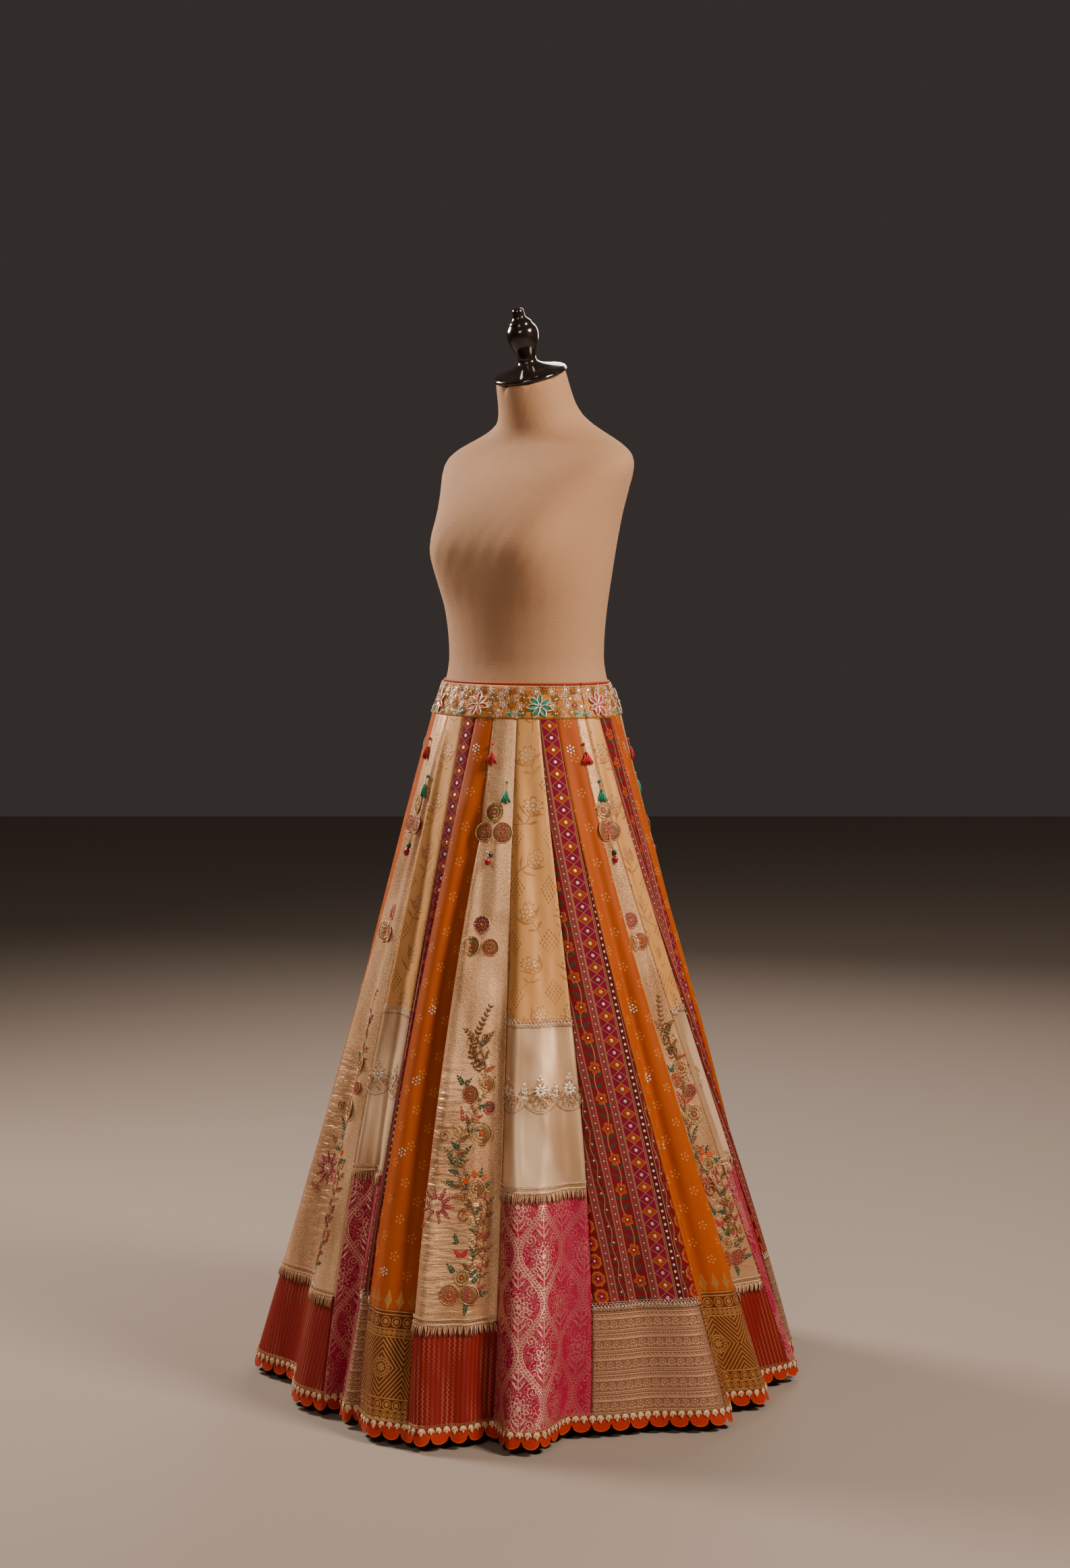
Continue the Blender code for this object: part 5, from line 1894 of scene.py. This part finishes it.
def zigzag_lace(piece, panel, height):
    """Two crossing waves of silver wire between two straight ones, across a panel."""
    reach = panel_width(panel, height) / 2
    xs = np.linspace(-reach, reach, max(8, round(2 * reach / 0.0012)))
    for sign in (-1, 1):
        wave = [(x, height + sign * ZIGZAG_RISE * math.sin(math.tau * x / ZIGZAG_PITCH)) for x in xs]
        sew_line(piece, "silver_wire", panel, wave, 0.0022, 0.0042, 0.0006)
    for row, thread in ((height + 0.0056, "silver_wire"), (height - 0.0056, "brown_wire")):
        sew_line(piece, thread, panel, [(-reach, row), (reach, row)], 0.0024, 0.0036)


def arch_point(middle, share, rise):
    """A point of an arch, from its left end at share -1 to its right end at 1, at a rise above its foot."""
    return middle + share * ARCH_WIDTH / 2, ARCH_FOOT + rise + ARCH_SAG * share**2


def arch_lace(panel):
    piece = "silver_arches"
    reach = panel_width(panel, ARCH_FOOT) / 2
    count = round(2 * reach / ARCH_WIDTH)
    for arch in range(count):
        middle = (arch - (count - 1) / 2) * ARCH_WIDTH
        shares = np.linspace(-1, 1, 13)
        for rise, thread in ((0.0, "brown_wire"), (0.0034, "silver_wire")):
            curve = [arch_point(middle, share, rise) for share in shares]
            sew_line(piece, thread, panel, curve, 0.0022, 0.0034)
        for n, (rise, share) in enumerate(itertools.product(ARCH_LOOP_ROWS, shares[1:-1])):
            thread = ARCH_THREADS[n % len(ARCH_THREADS)]
            spot = arch_point(middle, share, rise)
            sew(piece, "loop", thread, panel, *spot, share * 0.5 + math.sin(n * 1.9), 0.0056)
        flower_y = ARCH_FOOT + ARCH_FLOWER_RISE
        ring_of(piece, "petal", "silver_wire", panel, middle, flower_y, 9, 0.0016, 0.0082, 0.0, 0.0010)
        ring_of(piece, "loop", "gold_wire", panel, middle, flower_y, 9, 0.0070, 0.0062, 0.35)
        sew(piece, "sequin", "gold_wire", panel, middle, flower_y, 0, 0.0026, 0.0022)
        sew(piece, "sequin", "silver_sequin", panel, middle, flower_y, 0, 0.0014, 0.0028)
        spray(piece, "silver_wire", panel, middle, flower_y + 0.011, 0.0, 0.005, 1, 0.0065, "gold_wire")
        for side in (-1, 1):
            spot = (middle + side * 0.013, ARCH_FOOT + 0.018)
            sew(piece, "curl", "gold_wire", panel, *spot, side * 0.8, 0.0095)
        if arch < count - 1:
            root = arch_point(middle, 1, 0.006)
            spray(piece, "silver_wire", panel, *root, 0.0, 0.018, 3, 0.0072, "silver_wire")


for panel in panels_of("brocade"):
    zigzag_lace("jacquard_lace", panel, LACE_SEAM)
    arch_lace(panel)
for panel in panels_of("strip"):
    zigzag_lace("border_lace", panel, ZARI_SEAM - 0.0010)

# %% [markdown]
# ## Fringes
#
# A braid of two plaited rows is sewn over each low seam, and gold and rose threads hang from it. The
# threads are laid in two layers, and no two hang quite alike.

# %% Fringes
FRINGES = {"tissue": LOW_FRINGE_SEAM, "brocade": HIGH_FRINGE_SEAM}
FRINGE_PITCH = 0.0020
FRINGE_DROP = 0.0138
PLAIT_STEP = 0.0020
PlaitRow = namedtuple("PlaitRow", "rise turn")
PLAIT_ROWS = (PlaitRow(0.0048, 1.0), PlaitRow(0.0004, 2.1))
BraidEdge = namedtuple("BraidEdge", "rise thread")
BRAID_EDGES = (BraidEdge(0.0074, "silver_wire"), BraidEdge(0.0030, "brown_wire"))
FringeLayer = namedtuple("FringeLayer", "thread lift")
FRINGE_LAYERS = (FringeLayer("fringe_rose", 0.0006), FringeLayer("fringe_gold", 0.0018))


def sew_fringe(panel, kind, seam):
    name = f"{kind}_fringe_threads_{panel // len(KINDS) + 1}"
    reach = panel_width(panel, seam) / 2 - 0.0008
    for rise, turn in PLAIT_ROWS:
        for x in np.arange(-reach, reach, PLAIT_STEP):
            sew(name, "petal", "braid_gold", panel, x, seam + rise, turn, 0.0042, 0.0010)
    for rise, thread in BRAID_EDGES:
        edge = [(-reach, seam + rise), (reach, seam + rise)]
        sew_line(name, thread, panel, edge, 0.0022, 0.0034, 0.0014)
    for layer, (thread, lift) in enumerate(FRINGE_LAYERS):
        for n, x in enumerate(np.arange(-reach + layer * 0.0010, reach, FRINGE_PITCH)):
            turn = 0.16 * math.sin(n * 1.7 + layer * 2.1) + 0.08 * math.sin(n * 0.23)
            sew(name, "thread", thread, panel, x, seam - 0.0020, turn, FRINGE_DROP, lift)


for panel in range(PANELS):
    kind = KINDS[panel % len(KINDS)]
    if kind in FRINGES:
        sew_fringe(panel, kind, FRINGES[kind])

# %% [markdown]
# ## Sequin flowers and the lace at the hem
#
# Small daisies of sequins are scattered on the organza. At the hem a row of pointed picots in silver and
# gold lies over the scallops.

# %% Daisies and picots
Daisy = namedtuple("Daisy", "x height")
DAISIES = (
    Daisy(-0.004, 0.924),
    Daisy(0.002, 0.566),
    Daisy(-0.006, 0.470),
    Daisy(-0.012, 0.375),
    Daisy(-0.014, 0.219),
)
PICOT_PITCH = 0.0115
PicotPetal = namedtuple("PicotPetal", "turn size")
PICOT_PETALS = (
    PicotPetal(math.pi, 0.0105),
    PicotPetal(math.pi - 0.6, 0.0080),
    PicotPetal(math.pi + 0.6, 0.0080),
)

for panel in panels_of("orange"):
    for daisy in DAISIES:
        spot = stretched(panel, *daisy)
        ring_of("sequin_daisies", "sequin", "silver_wire", panel, *spot, 6, 0.0048, 0.0015, 0.0, 0.0006)
        sew("sequin_daisies", "sequin", "silver_wire", panel, *spot, 0.0, 0.0015, 0.0010)

picots = round(fine_lengths[-1] / PICOT_PITCH)
for place in hem_places(picots):
    for turn, size in PICOT_PETALS:
        sew_at("picot_lace", "petal", "braid_gold", "cloth", place, CLOTH_HEM + 0.002, turn, size, 0.0008)
    sew_at("picot_lace", "bead", "silver_sequin", "cloth", place, CLOTH_HEM - 0.0020, 0.0, 0.0010, 0.0020)
for place in hem_places(picots * 5):
    sew_at("picot_lace", "strand", "gold_wire", "cloth", place, CLOTH_HEM + 0.0045, 0.7, 0.0036, 0.0006)
    sew_at("picot_lace", "strand", "braid_gold", "cloth", place, CLOTH_HEM + 0.0020, -0.7, 0.0036, 0.0008)
print("lobes:", LOBES, "picots:", picots)

# %% [markdown]
# ## The embroidered waistband
#
# The band is crowded with flowers of silver and gold wire loops. Between them, at wide steps, sit large
# star flowers with silk petals outlined in silver, in turn red, orange and green.

# %% Band embroidery
BAND_STAR_STEP = 0.087
BAND_STAR_START = 0.025
BAND_STAR_THREADS = ("red_silk", "orange_silk", "mint_silk")
BAND_STAR_HEIGHT = 0.984
BAND_LOOP_STEP = 0.0110
BAND_LOOP_ROWS = (0.9735, 0.9840, 0.9945, 1.0045)
BAND_WIRES = ("silver_wire", "gold_wire", "silver_wire", "brown_wire")
BAND_MIDDLES = ("orange_silk", "silver_sequin", "rust_silk", "silver_sequin")
BAND_EDGE_ROWS = (0.9680, 1.0095)
BAND_EDGE_STEP = 0.0021
METRES_PER_DEGREE = BAND_LENGTH / (BAND_END - BAND_START)


def sew_band(motif, thread, x, height, turn, size, lift=0.0005):
    degrees = BAND_START + x / METRES_PER_DEGREE
    sew_at("band_embroidery", motif, thread, "band", degrees, height, turn, size, lift)


def band_ring(motif, thread, x, height, count, ring, size, start=0.0, lift=0.0005):
    for n in range(count):
        turn = start + math.tau * n / count
        sew_band(motif, thread, *away(x, height, turn, ring), turn, size, lift)


def band_star(x, thread):
    band_ring("petal", thread, x, BAND_STAR_HEIGHT, 7, 0.0022, 0.0150, 0.0, 0.0010)
    band_ring("loop", "silver_wire", x, BAND_STAR_HEIGHT, 7, 0.0012, 0.0180, 0.0, 0.0012)
    band_ring("sequin", "silver_sequin", x, BAND_STAR_HEIGHT, 6, 0.0024, 0.0014, 0.3, 0.0022)
    sew_band("bead", "gold_wire", x, BAND_STAR_HEIGHT, 0.0, 0.0018, 0.0028)


stars = list(np.arange(BAND_STAR_START, BAND_LENGTH - 0.03, BAND_STAR_STEP))
for n, x in enumerate(stars):
    band_star(x, BAND_STAR_THREADS[n % len(BAND_STAR_THREADS)])
    sew_band("leaf", "mint_silk", x - 0.033, 0.9720, 1.3, 0.0120, 0.0010)
    sew_band("leaf", "mint_silk", x - 0.031, 0.9720, -1.4, 0.0110, 0.0010)
for row, height in enumerate(BAND_LOOP_ROWS):
    for n, x in enumerate(np.arange(0.006 + (row % 2) * 0.0055, BAND_LENGTH - 0.004, BAND_LOOP_STEP)):
        sway = 0.0014 * math.sin(n * 2.3 + row)
        if min(abs(x - star) for star in stars) < 0.0150 and abs(height - BAND_STAR_HEIGHT) < 0.016:
            continue
        wire = BAND_WIRES[(n + 2 * row) % len(BAND_WIRES)]
        band_ring("loop", wire, x, height + sway, 6, 0.0006, 0.0066, n * 0.4, 0.0009)
        middle = BAND_MIDDLES[(n * 3 + row) % len(BAND_MIDDLES)]
        sew_band("sequin", middle, x, height + sway, 0.0, 0.0019, 0.0012)
for height in BAND_EDGE_ROWS:
    for x in np.arange(0.001, BAND_LENGTH - 0.001, BAND_EDGE_STEP):
        sew_band("strand", "gold_wire", x, height, 1.2, 0.0034, 0.0006)
        sew_band("strand", "silver_wire", x, height + 0.0012, 1.9, 0.0030, 0.0006)
print("band length", round(BAND_LENGTH, 3), "stars", len(stars))

# %% [markdown]
# ## Making the stitches
#
# Every group of stitches becomes points that carry their turn and size. The tree is evaluated on them, and
# the groups of one piece are joined, so that each piece is one mesh with its few threads.

# %% From stitches to pieces


def ground_frames(ground, along, height, lift):
    """The points of the stitches, and the directions across and out of their ground."""
    if ground == "cloth":
        points, across, square = cloth_points(along, height)
    else:
        points = band_points(along, height)
        across = unit(band_points(along + 0.5, height) - band_points(along - 0.5, height))
        rise = band_points(along, height + 0.002) - band_points(along, height - 0.002)
        square = unit(np.cross(across, rise))
    return points + square * lift[:, None], across, square


def facing_angles(across, square, turn):
    """Euler angles that turn +X across the ground and +Z out of it, and then spin by a turn."""
    rise = np.cross(square, across)
    cos, sin = np.cos(turn)[:, None], np.sin(turn)[:, None]
    first, second = across * cos + rise * sin, rise * cos - across * sin
    about_x = np.arctan2(second[:, 2], square[:, 2])
    about_y = -np.arcsin(np.clip(first[:, 2], -1, 1))
    about_z = np.arctan2(first[:, 1], first[:, 0])
    return np.stack([about_x, about_y, about_z], axis=-1)


def sewn_mesh(motif, thread, group):
    """The mesh of one motif on all the stitches of a group."""
    ground = group[0].ground
    along, height, lift, turn, size = np.array([stitch[1:] for stitch in group]).T
    points, across, square = ground_frames(ground, along, height, lift)
    mesh = bpy.data.meshes.new("stitches")
    mesh.from_pydata(points.tolist(), [], [])
    mesh.attributes.new("facing", "FLOAT_VECTOR", "POINT")
    mesh.attributes.new("size", "FLOAT", "POINT")
    mesh.attributes["facing"].data.foreach_set("vector", facing_angles(across, square, turn).ravel())
    mesh.attributes["size"].data.foreach_set("value", size)
    holder = link(bpy.data.objects.new("stitches", mesh))
    modifier = holder.modifiers.new("sewing", "NODES")
    modifier.node_group = sewing_tree
    inputs = [item for item in sewing_tree.interface.items_tree if item.in_out == "INPUT"]
    sockets = {item.name: item.identifier for item in inputs}
    modifier[sockets["Motif"]] = motifs[motif]
    modifier[sockets["Thread"]] = thread_materials[thread]
    modifier[sockets["Unevenness"]] = UNEVENNESS
    depsgraph = bpy.context.evaluated_depsgraph_get()
    made = bpy.data.meshes.new_from_object(holder.evaluated_get(depsgraph), depsgraph=depsgraph)
    bpy.data.objects.remove(holder)
    return made


def join_meshes(name, meshes):
    """One object from pairs of a mesh and the thread that it is sewn in."""
    work = bmesh.new()
    for index, (mesh, _) in enumerate(meshes):
        start = len(work.faces)
        work.from_mesh(mesh)
        work.faces.ensure_lookup_table()
        for face in work.faces[start:]:
            face.material_index = index
            face.smooth = True
    joined = bpy.data.meshes.new(name)
    work.to_mesh(joined)
    work.free()
    for _, thread in meshes:
        joined.materials.append(thread_materials[thread])
    return link(bpy.data.objects.new(name, joined))


PIECE_SLOTS = {
    "band_embroidery": "embroidered_band",
    "satin_medallions": "satin_tissue",
    "satin_vine": "satin_tissue",
}
pieces = {}
for (piece, motif, thread), group in stitches.items():
    pieces.setdefault(piece, []).append((sewn_mesh(motif, thread, group), thread))
for name, meshes in pieces.items():
    made = join_meshes(name, meshes)
    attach(made, "root")
    PIECE_SLOTS.get(name, "fringe_thread" if "fringe" in name else "zari_weave")
    if "fringe_threads" in name:
        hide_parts(name.replace("_threads", ""))
    print(name, len(made.data.polygons), "faces")
for motif in motifs.values():
    bpy.data.objects.remove(motif)

# %% [markdown]
# ## The dress form, its cap and its stand
#
# These are the solids' own meshes, merged and subdivided so that the facets turn round. The form is covered
# in natural linen, and the turned cap is lacquered wood.

# %% Form, cap and stand
LINEN = (0.53, 0.290, 0.155)
LINEN_DARK = (0.41, 0.212, 0.108)
MERGE_DISTANCE = 0.00002


def form_linen():
    finish = Finish("form_linen", 0.85, 0.0, sheen_weight=0.08)
    slub = noise(finish.tree, 300.0, 3.0, stretch=(1, 1, 5))
    warp_slub = noise(finish.tree, 300.0, 3.0, stretch=(5, 5, 1))
    cloth = slub * 0.5 + warp_slub * 0.5
    finish.raise_by(cloth, 0.0008)
    return finish.done(finish.mix(cloth, LINEN_DARK, LINEN), 0.06)


def black_lacquer():
    finish = Finish("black_lacquer", 0.16, 0.0, coat_weight=0.6)
    wear = noise(finish.tree, 60.0, 3.0)
    finish.set("Roughness", wear * 0.16 + 0.08)
    colour = finish.mix(wear.rising(0.5, 0.8), (0.012, 0.008, 0.007), (0.035, 0.018, 0.012))
    return finish.done(colour, 0.1)


def stand_steel():
    finish = Finish("stand_steel", 0.45, 0.8)
    brushed = noise(finish.tree, 240.0, 2.0, stretch=(1, 1, 0.1))
    finish.set("Roughness", brushed * 0.2 + 0.35)
    return finish.done(finish.mix(brushed, (0.035, 0.035, 0.038), (0.07, 0.07, 0.072)), 0.1)


def refined_copy(node, name, material, rounding=2):
    """A merged, subdivided copy of a solid, which stands in its place."""
    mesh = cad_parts[node].data.copy()
    mesh.name = name
    mesh.materials.clear()
    mesh.materials.append(material)
    work = bmesh.new()
    work.from_mesh(mesh)
    bmesh.ops.remove_doubles(work, verts=work.verts, dist=MERGE_DISTANCE)
    bmesh.ops.recalc_face_normals(work, faces=work.faces)
    work.to_mesh(mesh)
    work.free()
    mesh.shade_smooth()
    made = link(bpy.data.objects.new(name, mesh))
    smooth = made.modifiers.new("rounding", "SUBSURF")
    smooth.levels = smooth.render_levels = rounding
    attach(made, "root")
    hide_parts(node)


refined_copy("dress_form", "linen_form", form_linen())
refined_copy("neck_finial", "lacquered_cap", black_lacquer())
refined_copy("stand", "steel_stand", stand_steel(), 1)
print("form, cap and stand")
